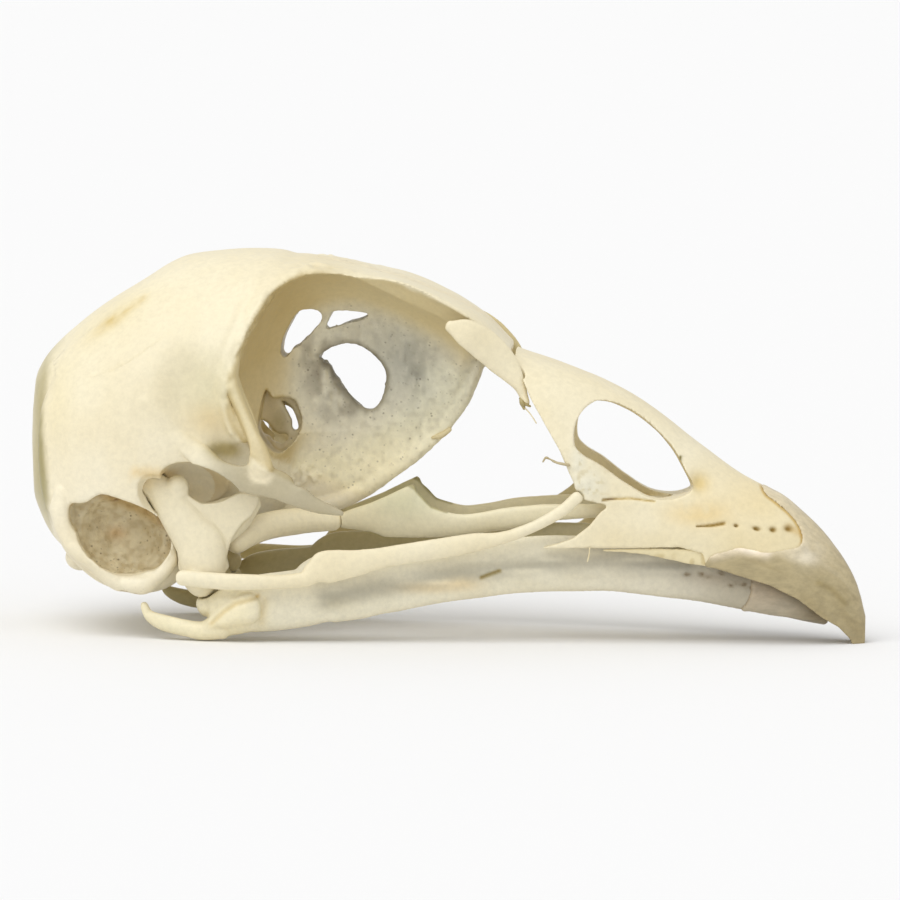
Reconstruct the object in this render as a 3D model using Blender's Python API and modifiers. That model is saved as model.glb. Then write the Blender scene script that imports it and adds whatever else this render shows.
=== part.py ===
"""Skull of a cock pheasant, life size, resting on its lower jaw and the tip of its bill.

Lengths below are millimetres and become metres in the meshes. The frame: x runs from the back
of the head to the tip of the bill, z runs up from the table, and the middle plane of the skull
is y = 0. Places on a side are given by how far out they are from that plane, and the maker
multiplies them by -1 for the right side and +1 for the left.
"""

import math

import bmesh
import bpy
import numpy as np

MM = 0.001
RIGHT, LEFT = -1, 1
SIDES = ((RIGHT, "right"), (LEFT, "left"))

# Driving sizes
BACK, TIP = -34.9, 34.9             # the ends of the skull along x
HINGE = 5.0                         # where the bill bends against the forehead
GAP = 0.3                           # room left between bones that touch
SOCKET_GAP = 0.38                   # the same, before the surface is smoothed
DEEP_GAP = 0.45                     # the same, in the coarser surface of the braincase
VOXEL = 0.21                        # grain of the surface while pieces are fused
FINE_VOXEL = 0.15                   # the same for the small quadrates
END_REACH, END_SIZE = 0.7, 0.55     # how far a bar's rounded end stands out, and its size there

# Braincase and forehead: rows of x and a height or half width, back to front
ROOF = ((-34.9, 18.2), (-34.5, 20.8), (-32.4, 23.7), (-26.5, 28.1), (-21.7, 30.9), (-16.5, 31.8),
        (-10.0, 31.0), (-4.2, 29.8), (0.0, 28.2), (2.7, 26.7), (5.0, 24.4))
BASE = ((-34.9, 14.5), (-34.5, 10.6), (-32.0, 6.8), (-28.0, 5.3), (-23.5, 5.6), (-18.5, 8.2),
        (-11.9, 10.0), (-7.8, 10.7), (-3.0, 14.9), (0.5, 17.7), (1.9, 20.4), (2.8, 22.4), (5.0, 22.9))
WIDEST = ((-34.9, 16.0), (-29.5, 15.6), (-23.5, 16.4), (-20.0, 17.4), (-17.2, 21.5), (-13.7, 28.3),
          (-10.0, 30.0), (-5.1, 29.8), (0.0, 27.8), (5.0, 23.9))
HALF_WIDTH = ((-34.9, 1.2), (-34.5, 4.9), (-32.8, 8.4), (-29.5, 10.7), (-25.0, 11.8), (-19.0, 12.0),
              (-16.2, 11.0), (-13.7, 8.6), (-10.0, 6.4), (-5.1, 5.1), (0.0, 5.4), (2.5, 5.2), (5.0, 4.5))
UPPER_POWER = ((-34.9, 2.1), (-20.0, 2.2), (5.0, 2.3))
LOWER_POWER = ((-34.9, 2.3), (-32.0, 3.2), (-27.0, 3.4), (-23.5, 2.4), (-21.0, 1.7), (-17.0, 1.7),
               (-14.5, 1.3), (-11.9, 1.0), (5.0, 1.0))

# Eye socket: a hollow whose long axis falls towards the bill and leaves a thin wall between the eyes
ORBIT, ORBIT_RADII, ORBIT_FALL = (-6.2, 12.4, 20.6), (11.4, 11.9, 9.0), math.radians(22.0)
ORBIT_POWER = 3.0
VAULT, VAULT_RADII = (-8.6, 5.6, 24.6), (5.2, 5.0, 2.6)
ORBIT_BASE, ORBIT_BASE_RADII, ORBIT_BASE_FALL = (-8.0, 9.2, 14.6), (7.0, 8.6, 3.2), math.radians(-25.0)

# Openings through the wall between the eyes: x, z round each outline
WALL_HOLE = ((-10.9, 23.0), (-8.8, 24.0), (-6.7, 23.4), (-5.4, 21.6), (-5.6, 19.6), (-6.9, 18.6),
             (-8.7, 19.9), (-10.0, 22.0))
REAR_WINDOW = ((-12.9, 26.6), (-11.1, 26.8), (-11.2, 25.6), (-13.3, 23.6), (-14.1, 23.4), (-13.8, 25.0))
FRONT_WINDOW = ((-9.9, 26.8), (-7.0, 26.6), (-8.8, 25.8), (-10.5, 25.2))
OPTIC_HOLE = ((-15.1, 18.2), (-14.2, 19.3), (-13.1, 17.9), (-12.9, 16.0), (-13.8, 15.2), (-14.9, 16.2))
HOLE_REACH = 3.2                    # how far out these openings are cut

# Hollow of the brain, open behind through the hole for the spinal cord
BRAIN_ROOF = 1.5                    # thickness of the roof over it
BRAIN_POWER = 2.2                   # how square its section is
BRAIN_FLOOR = ((-33.4, 14.0), (-31.0, 11.2), (-27.0, 10.6), (-20.0, 11.4), (-17.5, 13.5), (-16.2, 17.0))
BRAIN_WIDEST = ((-33.4, 17.0), (-25.0, 17.5), (-18.0, 20.0), (-16.2, 21.0))
BRAIN_HALF = ((-33.4, 2.0), (-32.4, 6.2), (-30.0, 8.8), (-26.0, 10.0), (-22.0, 9.6), (-19.4, 8.0),
              (-18.2, 5.6), (-17.0, 3.0), (-16.2, 1.5))
CORD_HOLE = ((-29.5, 0.0, 12.0, 1.95, 1.95), (-32.5, 0.0, 8.5, 1.95, 1.95), (-36.0, 0.0, 4.4, 1.95, 1.95))
NECK_KNOB, NECK_KNOB_RADII = (-30.7, 0.0, 5.6), (1.3, 1.3, 1.1)

# Ear region: the swelling below the braincase, its open bowl with a thick lip, and the recess and
# the notch that take the quadrate
EAR_SWELLING, EAR_SWELLING_RADII = (-26.5, 7.4, 8.7), (6.2, 3.5, 4.8)
EAR_FALL = math.radians(30.0)
EAR_BOWL, EAR_BOWL_RADII = (-26.6, 10.6, 8.6), (4.5, 4.1, 3.5)
EAR_LIP = ((-31.2, 9.3, 12.0, 0.7, 0.7), (-30.7, 9.5, 8.9, 0.7, 0.65), (-29.1, 9.5, 6.4, 0.7, 0.7),
           (-26.5, 9.5, 4.85, 0.8, 0.9), (-24.8, 9.6, 4.65, 1.0, 0.95), (-22.9, 9.3, 5.8, 0.7, 0.75),
           (-22.2, 8.9, 7.8, 0.5, 0.6))
RECESS, RECESS_RADII, RECESS_FALL = (-19.9, 11.2, 12.7), (3.7, 3.8, 2.0), math.radians(20.0)
HEAD_NOTCH, NOTCH_RADII, NOTCH_FALL = (-23.4, 12.4, 11.9), (1.8, 2.9, 2.6), math.radians(-35.0)

# Temple: the shallow field of the jaw muscle, the wall behind it and the pit under its strut
TEMPLE_DENT, TEMPLE_DENT_RADII, TEMPLE_FALL = (-19.5, 14.4, 19.4), (4.2, 3.6, 7.2), math.radians(-23.0)
TEMPLE_WALL = ((-18.9, 9.9, 23.6, 0.7, 0.8), (-18.4, 10.1, 21.2, 0.7, 1.2), (-17.8, 10.3, 19.2, 0.7, 1.5),
               (-17.4, 10.5, 17.6, 0.65, 1.6), (-17.2, 10.6, 16.8, 0.5, 1.4))
TEMPLE_PIT, PIT_RADII, PIT_FALL = (-17.5, 11.8, 15.6), (1.7, 2.2, 0.9), math.radians(15.0)

# Bars and struts: rows of x, distance out, z, half thickness and half height
BROW_SPUR = ((-18.2, 10.4, 24.6, 0.7, 0.9), (-17.7, 10.8, 22.9, 0.8, 0.75), (-17.1, 11.3, 20.4, 0.85, 0.5),
             (-16.2, 11.75, 18.4, 0.8, 0.55), (-15.4, 12.1, 16.6, 0.75, 0.8), (-14.9, 12.25, 14.6, 0.65, 1.1))
CHEEK_BLADE = ((-24.2, 10.6, 18.6, 0.6, 0.4), (-22.2, 11.4, 17.2, 0.6, 0.7), (-20.4, 12.0, 15.7, 0.5, 0.8),
               (-18.8, 12.4, 14.75, 0.45, 0.95), (-16.3, 12.45, 13.7, 0.42, 1.2),
               (-13.8, 12.3, 13.3, 0.42, 1.3), (-12.4, 12.0, 12.5, 0.38, 0.92),
               (-10.5, 11.5, 11.6, 0.33, 0.6), (-8.3, 10.9, 10.9, 0.25, 0.22))
ROSTRUM = ((-13.0, 0.0, 9.6, 1.3, 1.0), (-8.7, 0.0, 11.0, 0.8, 0.7), (-5.1, 0.0, 13.4, 0.75, 0.75),
           (-1.2, 0.0, 16.6, 0.8, 0.7), (0.9, 0.0, 19.3, 0.95, 0.65), (2.3, 0.0, 23.0, 1.1, 0.6))
THROAT_KNOB, THROAT_KNOB_RADII = (-13.6, 3.4, 10.2), (1.6, 1.4, 1.2)

LACRIMAL = ((0.1, 6.3, 26.2, 0.35, 0.5), (1.4, 6.2, 25.7, 0.35, 1.15), (2.9, 5.6, 24.7, 0.35, 1.35),
            (4.3, 5.1, 23.4, 0.35, 1.25), (5.3, 4.9, 22.2, 0.35, 0.9), (6.0, 4.9, 21.1, 0.35, 0.5),
            (6.5, 5.0, 19.9, 0.3, 0.3))
LACRIMAL_LEAN = 0.3                 # how far the lacrimal's upper edge leans in, as a slope
JUGAL = ((-21.3, 12.3, 5.4, 0.55, 0.65), (-17.1, 12.3, 5.15, 0.45, 0.7), (-13.3, 11.8, 5.2, 0.45, 0.6),
         (-11.3, 11.5, 5.4, 0.43, 0.65), (-10.4, 11.35, 6.0, 0.42, 1.0), (-9.6, 11.2, 6.4, 0.42, 1.4),
         (-7.0, 10.75, 6.8, 0.4, 1.1), (-4.5, 10.2, 7.3, 0.4, 0.85), (0.5, 9.0, 8.1, 0.4, 0.87),
         (2.5, 8.5, 8.45, 0.4, 0.8), (4.6, 8.0, 8.8, 0.4, 0.55), (7.2, 7.5, 9.7, 0.4, 0.45),
         (9.8, 7.2, 11.2, 0.4, 0.5), (11.0, 7.05, 12.3, 0.4, 0.5))
PTERYGOID = ((-17.2, 7.8, 8.0, 0.9, 1.0), (-15.8, 6.8, 8.9, 0.9, 1.15), (-13.5, 5.1, 9.4, 0.9, 1.15),
             (-11.3, 3.5, 9.5, 0.9, 1.05), (-9.6, 2.5, 9.4, 0.9, 0.85))
PALATINE_TOP = ((-9.3, 9.9), (-8.3, 10.3), (-5.8, 11.3), (-2.75, 12.7), (-2.2, 11.9), (-1.2, 10.9),
                (1.3, 10.35), (5.8, 11.1), (9.2, 11.4), (12.9, 11.5), (14.6, 11.5))
PALATINE_BOTTOM = ((-9.3, 8.85), (-6.3, 8.6), (-5.0, 8.2), (-1.7, 8.3), (4.2, 9.0), (9.2, 10.0),
                   (12.9, 10.4), (14.6, 10.6))
PALATINE_OUT = ((-9.3, 2.3), (-5.0, 3.2), (0.0, 3.8), (6.0, 3.9), (14.6, 4.2))
PALATINE_HALF = ((-9.3, 0.6), (-3.0, 0.4), (14.6, 0.45))
PALATINE_POWER = 2.4                # how square its section is

QUADRATE_BODY = ((-24.2, 9.5, 13.0, 0.85, 1.1), (-22.8, 9.8, 11.6, 0.9, 1.4), (-21.2, 10.1, 9.5, 0.9, 1.7),
                 (-19.9, 10.3, 7.6, 1.0, 2.05), (-19.6, 10.4, 5.6, 1.25, 1.8))
QUADRATE_SIDE = ((-25.5, 12.7), (-25.1, 13.4), (-24.2, 13.5), (-23.5, 13.0), (-23.0, 13.1), (-21.5, 13.1),
                 (-21.05, 12.7), (-21.1, 12.1), (-20.1, 11.45), (-19.4, 11.4), (-18.3, 11.6), (-17.25, 12.1),
                 (-16.6, 12.3), (-15.4, 12.1), (-15.25, 11.7), (-15.7, 10.6), (-16.6, 9.7), (-17.4, 8.4),
                 (-17.8, 7.0), (-17.9, 5.8), (-21.4, 5.6), (-21.8, 7.0), (-21.95, 7.9), (-22.3, 8.9),
                 (-23.4, 10.25), (-24.55, 12.1))
QUADRATE_OUT, QUADRATE_PLATE = 9.7, 0.6     # where its flat plate stands and its half thickness
QUADRATE_SADDLE = ((-24.4, 9.5, 12.5, 0.8, 0.85), (-21.8, 9.9, 12.2, 0.8, 0.9))
QUADRATE_HORN = ((-20.6, 10.1, 8.8, 0.8, 2.2), (-18.9, 9.6, 9.5, 0.75, 1.95), (-17.1, 9.0, 10.5, 0.6, 1.6),
                 (-15.7, 8.5, 11.4, 0.5, 0.75))
QUADRATE_FOOT = ((-20.6, 12.0, 5.0, 1.0, 1.0), (-19.9, 10.2, 4.9, 1.2, 1.3), (-18.8, 8.0, 4.8, 1.0, 1.0))
QUADRATE_HEADS = ((-24.5, 9.4, 12.95), (-22.0, 9.8, 12.7))
QUADRATE_HEAD_RADIUS = 0.95

JAW_RAMUS = ((-18.2, 10.5, 2.2, 0.9, 1.9), (-17.2, 10.5, 2.6, 1.3, 2.1), (-15.8, 10.2, 3.1, 1.1, 2.35),
             (-13.5, 9.8, 3.35, 0.9, 2.45), (-11.5, 9.5, 3.65, 0.85, 2.45), (-9.5, 9.2, 4.45, 0.75, 2.9),
             (-7.0, 8.7, 4.7, 0.72, 2.85), (-5.0, 8.3, 4.95, 0.7, 2.6), (0.0, 7.3, 5.7, 0.7, 2.4),
             (5.0, 6.3, 6.3, 0.7, 2.35), (9.5, 5.4, 6.6, 0.65, 2.35), (13.0, 4.8, 6.6, 0.6, 2.3),
             (17.0, 4.2, 6.2, 0.6, 2.25), (21.0, 3.5, 5.5, 0.6, 2.05), (24.0, 2.9, 4.6, 0.6, 1.7),
             (27.0, 2.2, 3.6, 0.6, 1.3), (29.6, 1.2, 2.75, 0.5, 0.85), (31.2, 0.4, 2.1, 0.4, 0.5))
JAW_CHIN = ((22.0, 0.0, 4.3, 1.5, 0.5), (24.0, 0.0, 3.8, 2.7, 0.65), (27.0, 0.0, 3.0, 2.3, 0.7),
            (29.6, 0.0, 2.3, 1.4, 0.6), (31.4, 0.0, 1.8, 0.6, 0.4))
JAW_BOSS = ((-19.0, 10.9, 1.4, 0.5, 0.5), (-17.5, 11.3, 2.3, 0.7, 1.15), (-15.9, 11.4, 2.9, 0.7, 1.35),
            (-15.4, 11.3, 3.0, 0.6, 1.2))
JAW_INNER_SPUR = ((-19.0, 9.5, 3.0, 1.3, 1.2), (-19.3, 7.6, 3.6, 0.8, 0.8), (-19.6, 5.8, 4.3, 0.5, 0.5))
JAW_REAR_SPUR = ((-18.2, 10.5, 1.3, 0.8, 1.2), (-19.7, 10.5, 0.85, 0.7, 0.8), (-22.5, 10.2, 1.3, 0.45, 0.7),
                 (-23.6, 10.0, 1.65, 0.4, 0.6), (-24.3, 9.8, 2.1, 0.4, 0.45), (-24.6, 9.7, 2.75, 0.35, 0.35))

# Upper bill: rows of x with the height of its ridge, its cutting edge, and its half width there
RIDGE = ((4.0, 24.7), (5.8, 23.85), (7.9, 23.2), (10.8, 22.2), (14.2, 20.7), (17.5, 18.5), (20.8, 15.9),
         (24.2, 13.7), (26.4, 12.6), (27.75, 12.0), (29.25, 10.7), (31.1, 8.8), (32.8, 6.55), (34.2, 3.9),
         (34.9, 1.6))
EDGE = ((4.0, 7.2), (20.8, 6.5), (24.2, 5.2), (27.75, 3.9), (29.25, 3.2), (31.1, 1.8), (32.8, 0.6),
        (34.2, -0.9), (34.9, -1.0))
BILL_HALF = ((4.0, 7.3), (7.9, 7.3), (10.8, 7.15), (14.2, 6.7), (17.5, 6.2), (20.8, 5.7), (24.2, 5.2),
             (27.75, 4.5), (29.25, 4.0), (31.1, 3.2), (32.8, 2.3), (34.2, 1.4), (34.9, 0.8))
BILL_POWER = ((4.0, 3.6), (10.8, 3.0), (17.5, 2.4), (24.0, 2.1), (34.9, 2.0))
BILL_CEILING = ((4.0, 23.2), (10.8, 20.7), (15.5, 17.4), (18.0, 13.5), (20.0, 11.2), (24.0, 9.0),
                (27.0, 7.7), (29.25, 6.0), (31.1, 4.1), (32.6, 2.2), (33.4, -0.5))
BILL_WALL = 0.72                    # thickness of the bill's side walls
BILL_BACK = 4.0                     # where the bill's arch starts, before its side outline trims it
BILL_TURN, BILL_TURN_POWER = 0.3, 4.0   # how far the cutting edge turns in under, and how square it is
HOLLOW_DEPTH, HOLLOW_LEAD = 2.0, 0.4    # how far the hollow drops below the edge and runs further back
HOLLOW_POWER = 6.0                  # how square the hollow's underside is
BILL_REACH, JAW_REACH = 12.0, 8.0   # how far out cuts through the bill and through the jaw reach
BILL_SIDE = ((5.3, 25.5), (16.0, 25.0), (36.0, 14.0), (36.0, -1.0), (34.3, -0.9), (33.6, 0.5), (32.7, 1.45),
             (31.3, 2.3), (29.25, 3.9), (27.1, 5.0), (24.8, 5.7), (22.6, 6.4), (21.7, 6.65), (21.4, 7.7),
             (19.4, 8.2), (16.1, 8.1), (10.3, 8.05), (7.6, 7.9), (9.5, 8.4), (10.7, 8.85), (12.0, 9.9),
             (12.8, 10.95), (13.6, 11.6), (12.0, 11.95), (11.2, 12.2), (10.6, 13.6), (9.5, 16.0),
             (8.2, 18.1), (7.0, 20.1), (6.1, 21.9), (5.4, 23.0))
NOSTRIL = ((10.6, 16.75), (10.9, 18.8), (12.4, 20.1), (14.8, 19.5), (16.9, 18.1), (18.5, 16.5), (19.8, 14.4),
           (20.3, 12.9), (18.9, 12.15), (16.9, 12.3), (14.8, 13.5), (12.7, 14.95), (11.3, 15.75))
PALATE_SHELF = ((15.2, 4.2, 11.0, 1.2, 0.45), (18.5, 3.9, 10.9, 1.3, 0.5), (22.5, 3.4, 10.4, 1.4, 0.8))

# Where the horn of the bill ends against the bone: x, z along the thin cut
HORN_EDGE = ((25.7, 13.6), (26.3, 12.4), (27.9, 11.1), (29.1, 9.9), (29.45, 8.9), (28.0, 8.0), (26.4, 7.4),
             (25.1, 8.1), (22.3, 7.7), (21.6, 6.9), (21.3, 5.6))
LOWER_HORN_EDGE = ((23.9, -1.0), (24.1, 3.2), (24.9, 6.0), (25.2, 9.0))

# Triangles given to each node
TRIANGLES = {"cranium": 4600, "upper_bill": 2000, "lower_jaw": 1900, "quadrate": 380}

# Colours of the finish: red, green, blue, roughness
BONE = (0.83, 0.77, 0.60, 0.5)
PALE_BONE = (0.80, 0.77, 0.66, 0.5)
HORN = (0.56, 0.50, 0.38, 0.38)


def smooth_through(keys, places):
    """Values of a smooth curve at some places; keys are rows of a place and its values.

    Between two keys the curve is a cubic. Its slope at a key is the harmonic mean of the slopes
    on both sides, and zero at a peak or a dip, so the curve never swings past a key.
    """
    keys = np.asarray(keys, dtype=float)
    place, value = keys[:, 0], keys[:, 1:]
    run = np.diff(place)[:, None]
    slope = np.diff(value, axis=0) / run
    before, after = slope[:-1], slope[1:]
    same_way = before * after > 0.0
    mean = 2.0 * before * after / np.where(same_way, before + after, 1.0)
    tangent = np.vstack([slope[:1], np.where(same_way, mean, 0.0), slope[-1:]])
    places = np.clip(places, place[0], place[-1])
    step = np.clip(np.searchsorted(place, places, side="right") - 1, 0, len(place) - 2)
    t = (places - place[step])[:, None] / run[step]
    rise = t * t * (3.0 - 2.0 * t)
    leave = t * (1.0 - t) ** 2 * run[step]
    reach = t * t * (t - 1.0) * run[step]
    between = value[step] * (1.0 - rise) + value[step + 1] * rise
    return between + tangent[step] * leave + tangent[step + 1] * reach


def line(keys, places):
    """One value of a smooth curve at each place."""
    return smooth_through(keys, places)[:, 0]


def superellipse(angle, power):
    """Cosine and sine of an angle, each with its size raised to two over the power."""
    across, up = np.cos(angle), np.sin(angle)
    return (np.sign(across) * np.abs(across) ** (2.0 / power), np.sign(up) * np.abs(up) ** (2.0 / power))


def linked(name, mesh):
    """A new object of a mesh in the scene."""
    made = bpy.data.objects.new(name, mesh)
    bpy.context.scene.collection.objects.link(made)
    return made


def skin(name, rings):
    """A closed skin over a stack of rings, given in millimetres, with a fan at each end."""
    rings = np.asarray(rings, dtype=float)
    count, around = rings.shape[:2]
    points = np.vstack([rings.reshape(-1, 3), rings[0].mean(axis=0), rings[-1].mean(axis=0)]) * MM
    first, last = count * around, count * around + 1
    faces = []
    for ring in range(count - 1):
        for k in range(around):
            a, b = ring * around + k, ring * around + (k + 1) % around
            faces.append((a, b, b + around, a + around))
    for k in range(around):
        after = (k + 1) % around
        faces.append((first, after, k))
        faces.append((last, (count - 1) * around + k, (count - 1) * around + after))
    mesh = bpy.data.meshes.new(name)
    mesh.from_pydata(points.tolist(), [], faces)
    shape = bmesh.new()
    shape.from_mesh(mesh)
    bmesh.ops.recalc_face_normals(shape, faces=shape.faces)
    if shape.calc_volume(signed=True) < 0.0:
        bmesh.ops.reverse_faces(shape, faces=shape.faces)
    shape.to_mesh(mesh)
    shape.free()
    return linked(name, mesh)


def loft(name, places, ridge, widest, floor, half_width, upper_power, lower_power, around=44):
    """A skin of sections across x: each is two half superellipses that meet at its widest level."""
    angle = np.linspace(0.0, 2.0 * math.pi, around, endpoint=False)[None, :]
    power = np.where(np.sin(angle) > 0.0, upper_power[:, None], lower_power[:, None])
    across, up = superellipse(angle, power)
    height = np.where(up > 0.0, (ridge - widest)[:, None], (widest - floor)[:, None])
    x = np.broadcast_to(places[:, None], across.shape)
    return skin(name, np.stack([x, across * half_width[:, None], widest[:, None] + up * height], axis=-1))


def limb(name, stations, side=RIGHT, grow=0.0, samples=4, around=10, across=(0.0, 1.0, 0.0)):
    """A bar along a smooth path with an oval section, half thickness by half height.

    The thickness runs along the across direction, squared to the path, and the height is
    perpendicular to both. The ends are rounded off over the last half thickness.
    """
    stations = np.asarray(stations, dtype=float)
    places = np.concatenate([[0.0], np.cumsum(np.linalg.norm(np.diff(stations[:, :3], axis=0), axis=1))])
    at = np.interp(np.arange((len(stations) - 1) * samples + 1) / samples, np.arange(len(stations)), places)
    curve = smooth_through(np.column_stack([places, stations]), at)
    path, half = curve[:, :3].copy(), curve[:, 3:] + grow
    path[:, 1] *= side
    ahead = np.gradient(path, axis=0)
    ahead /= np.linalg.norm(ahead, axis=1)[:, None]
    sideways = np.asarray(across) - ahead * (ahead @ np.asarray(across))[:, None]
    sideways /= np.linalg.norm(sideways, axis=1)[:, None]
    up = np.cross(ahead, sideways)
    for end, way in ((0, -1.0), (-1, 1.0)):
        cap_path = path[end] + way * ahead[end] * half[end, 0] * END_REACH
        cap_half = half[end] * END_SIZE
        at_end = 0 if end == 0 else len(path)
        path = np.insert(path, at_end, cap_path, axis=0)
        half = np.insert(half, at_end, cap_half, axis=0)
        sideways = np.insert(sideways, at_end, sideways[end], axis=0)
        up = np.insert(up, at_end, up[end], axis=0)
        ahead = np.insert(ahead, at_end, ahead[end], axis=0)
    angle = np.linspace(0.0, 2.0 * math.pi, around, endpoint=False)
    rings = (path[:, None] + sideways[:, None] * (half[:, :1] * np.cos(angle))[..., None]
             + up[:, None] * (half[:, 1:] * np.sin(angle))[..., None])
    return skin(name, rings)


def blob(name, place, radii, side=RIGHT, power=2.0, fall=0.0, around=40):
    """A superellipsoid: rings of latitude, each a superellipse, turned about y by the fall angle."""
    tilt = np.linspace(-0.5 * math.pi, 0.5 * math.pi, around // 2 + 1)[1:-1, None]
    angle = np.linspace(0.0, 2.0 * math.pi, around, endpoint=False)[None, :]
    out, along = superellipse(tilt, power)
    across, up = superellipse(angle, power)
    rings = np.stack([np.broadcast_to(along, (len(tilt), around)), out * across, out * up], axis=-1)
    rings = rings * np.asarray(radii)
    cos, sin = math.cos(fall), math.sin(fall)
    turned = np.stack([rings[..., 0] * cos + rings[..., 2] * sin, rings[..., 1],
                       rings[..., 2] * cos - rings[..., 0] * sin], axis=-1)
    return skin(name, turned + np.asarray(place) * (1.0, side, 1.0))


def round_outline(points, samples=6):
    """A smooth closed outline through a few points, by Catmull and Rom's rule."""
    points = np.asarray(points, dtype=float)
    t = (np.arange(samples) / samples)[None, :, None]
    before, here = np.roll(points, 1, axis=0)[:, None], points[:, None]
    after, later = np.roll(points, -1, axis=0)[:, None], np.roll(points, -2, axis=0)[:, None]
    curve = 0.5 * (2 * here + (after - before) * t + (2 * before - 5 * here + 4 * after - later) * t ** 2
                   + (3 * here - before - 3 * after + later) * t ** 3)
    return curve.reshape(-1, 2)


def prism(name, outline, reach, middle=0.0):
    """A flat outline in x and z, filled and drawn out to both sides of a plane across y."""
    curve = bpy.data.curves.new(name, "CURVE")
    curve.dimensions = "2D"
    curve.fill_mode = "BOTH"
    curve.extrude = reach * MM
    spline = curve.splines.new("POLY")
    spline.points.add(len(outline) - 1)
    for point, (x, z) in zip(spline.points, outline):
        point.co = (x * MM, z * MM, 0.0, 1.0)
    spline.use_cyclic_u = True
    drawn = linked(name + "_outline", curve)
    drawn.rotation_euler = (math.pi / 2.0, 0.0, 0.0)
    drawn.location = (0.0, middle * MM, 0.0)
    bpy.context.view_layer.update()
    mesh = bpy.data.meshes.new_from_object(drawn.evaluated_get(bpy.context.evaluated_depsgraph_get()))
    mesh.transform(drawn.matrix_world)
    bpy.data.objects.remove(drawn)
    shape = bmesh.new()
    shape.from_mesh(mesh)
    bmesh.ops.remove_doubles(shape, verts=shape.verts, dist=0.00001)
    bmesh.ops.recalc_face_normals(shape, faces=shape.faces)
    shape.to_mesh(mesh)
    shape.free()
    return linked(name, mesh)


def evaluated(made):
    """Replace an object's mesh by its evaluated one and drop its modifiers."""
    bpy.context.view_layer.update()
    mesh = bpy.data.meshes.new_from_object(made.evaluated_get(bpy.context.evaluated_depsgraph_get()))
    made.modifiers.clear()
    made.data = mesh
    return made


def combined(base, others, operation):
    """Join, cut or trim an object by a list of closed ones, which are removed."""
    if not others:
        return base
    group = bpy.data.collections.new(base.name + "_" + operation.lower())
    for other in others:
        group.objects.link(other)
    boolean = base.modifiers.new(operation.lower(), "BOOLEAN")
    boolean.operation = operation
    boolean.solver = "EXACT"
    boolean.use_self = False
    boolean.operand_type = "COLLECTION"
    boolean.collection = group
    evaluated(base)
    for other in others:
        bpy.data.objects.remove(other)
    bpy.data.collections.remove(group)
    return base


def triangle_count(made):
    """How many triangles a mesh's faces make."""
    return sum(len(face.vertices) - 2 for face in made.data.polygons)


def largest_piece(made):
    """Keep only the largest closed surface, which drops loose scraps and sealed hollows."""
    shape = bmesh.new()
    shape.from_mesh(made.data)
    shape.verts.ensure_lookup_table()
    left = set(shape.verts)
    pieces = []
    while left:
        grown, edge = set(), [left.pop()]
        while edge:
            vertex = edge.pop()
            grown.add(vertex)
            for link in vertex.link_edges:
                other = link.other_vert(vertex)
                if other in left:
                    left.remove(other)
                    edge.append(other)
        pieces.append(grown)
    pieces.sort(key=len)
    for scrap in pieces[:-1]:
        bmesh.ops.delete(shape, geom=list(scrap), context="VERTS")
    shape.to_mesh(made.data)
    shape.free()
    return made


def refined(made, triangles, passes=3, voxel=VOXEL):
    """Melt the pieces into one even surface, smooth it and thin it to a number of triangles."""
    remesh = made.modifiers.new("even", "REMESH")
    remesh.mode = "VOXEL"
    remesh.voxel_size = voxel * MM
    ease = made.modifiers.new("ease", "SMOOTH")
    ease.factor = 0.5
    ease.iterations = passes
    largest_piece(evaluated(made))
    thin = made.modifiers.new("thin", "DECIMATE")
    thin.ratio = min(1.0, triangles / triangle_count(made))
    thin.use_collapse_triangulate = True
    return largest_piece(evaluated(made))


def rested(made):
    """Cut away what would sink below the table, which leaves small flats at z = 0."""
    shape = bmesh.new()
    shape.from_mesh(made.data)
    everything = shape.verts[:] + shape.edges[:] + shape.faces[:]
    cut = bmesh.ops.bisect_plane(shape, geom=everything, dist=0.000001, plane_co=(0, 0, 0),
                                 plane_no=(0, 0, 1), clear_inner=True)
    rim = [part for part in cut["geom_cut"] if isinstance(part, bmesh.types.BMEdge)]
    bmesh.ops.holes_fill(shape, edges=rim, sides=0)
    bmesh.ops.triangulate(shape, faces=shape.faces)
    bmesh.ops.recalc_face_normals(shape, faces=shape.faces)
    shape.to_mesh(made.data)
    shape.free()
    return made


def saw(name, path, reach, width=GAP):
    """A thin upright slab along a path in x and z, which parts a piece in two."""
    path = np.asarray(path, dtype=float)
    ahead = np.gradient(path, axis=0)
    ahead /= np.linalg.norm(ahead, axis=1)[:, None]
    aside = np.stack([-ahead[:, 1], ahead[:, 0]], axis=-1) * 0.5 * width
    return prism(name, np.vstack([path + aside, (path - aside)[::-1]]), reach)


def parted(made, front_name, path, reach):
    """Part a piece along a thin cut; the part towards the tip becomes a new object."""
    combined(made, [saw(front_name + "_saw", path, reach)], "DIFFERENCE")
    front = linked(front_name, made.data.copy())
    for piece, way in ((made, -1), (front, 1)):
        keep_end(piece, way)
    return made, front


def keep_end(made, way):
    """Keep the one closed surface that reaches furthest back (-1) or furthest forward (+1)."""
    shape = bmesh.new()
    shape.from_mesh(made.data)
    start = max(shape.verts, key=lambda vertex: vertex.co.x * way)
    kept, edge = {start}, [start]
    while edge:
        for link in edge.pop().link_edges:
            for vertex in link.verts:
                if vertex not in kept:
                    kept.add(vertex)
                    edge.append(vertex)
    bmesh.ops.delete(shape, geom=[vertex for vertex in shape.verts if vertex not in kept], context="VERTS")
    shape.to_mesh(made.data)
    shape.free()


def wider(outline, grow):
    """An outline drawn clockwise in x and z, with each point moved outwards by a length."""
    outline = np.asarray(outline, dtype=float)
    ahead = np.roll(outline, -1, axis=0) - np.roll(outline, 1, axis=0)
    ahead /= np.linalg.norm(ahead, axis=1)[:, None]
    return outline + np.stack([-ahead[:, 1], ahead[:, 0]], axis=-1) * grow


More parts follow.
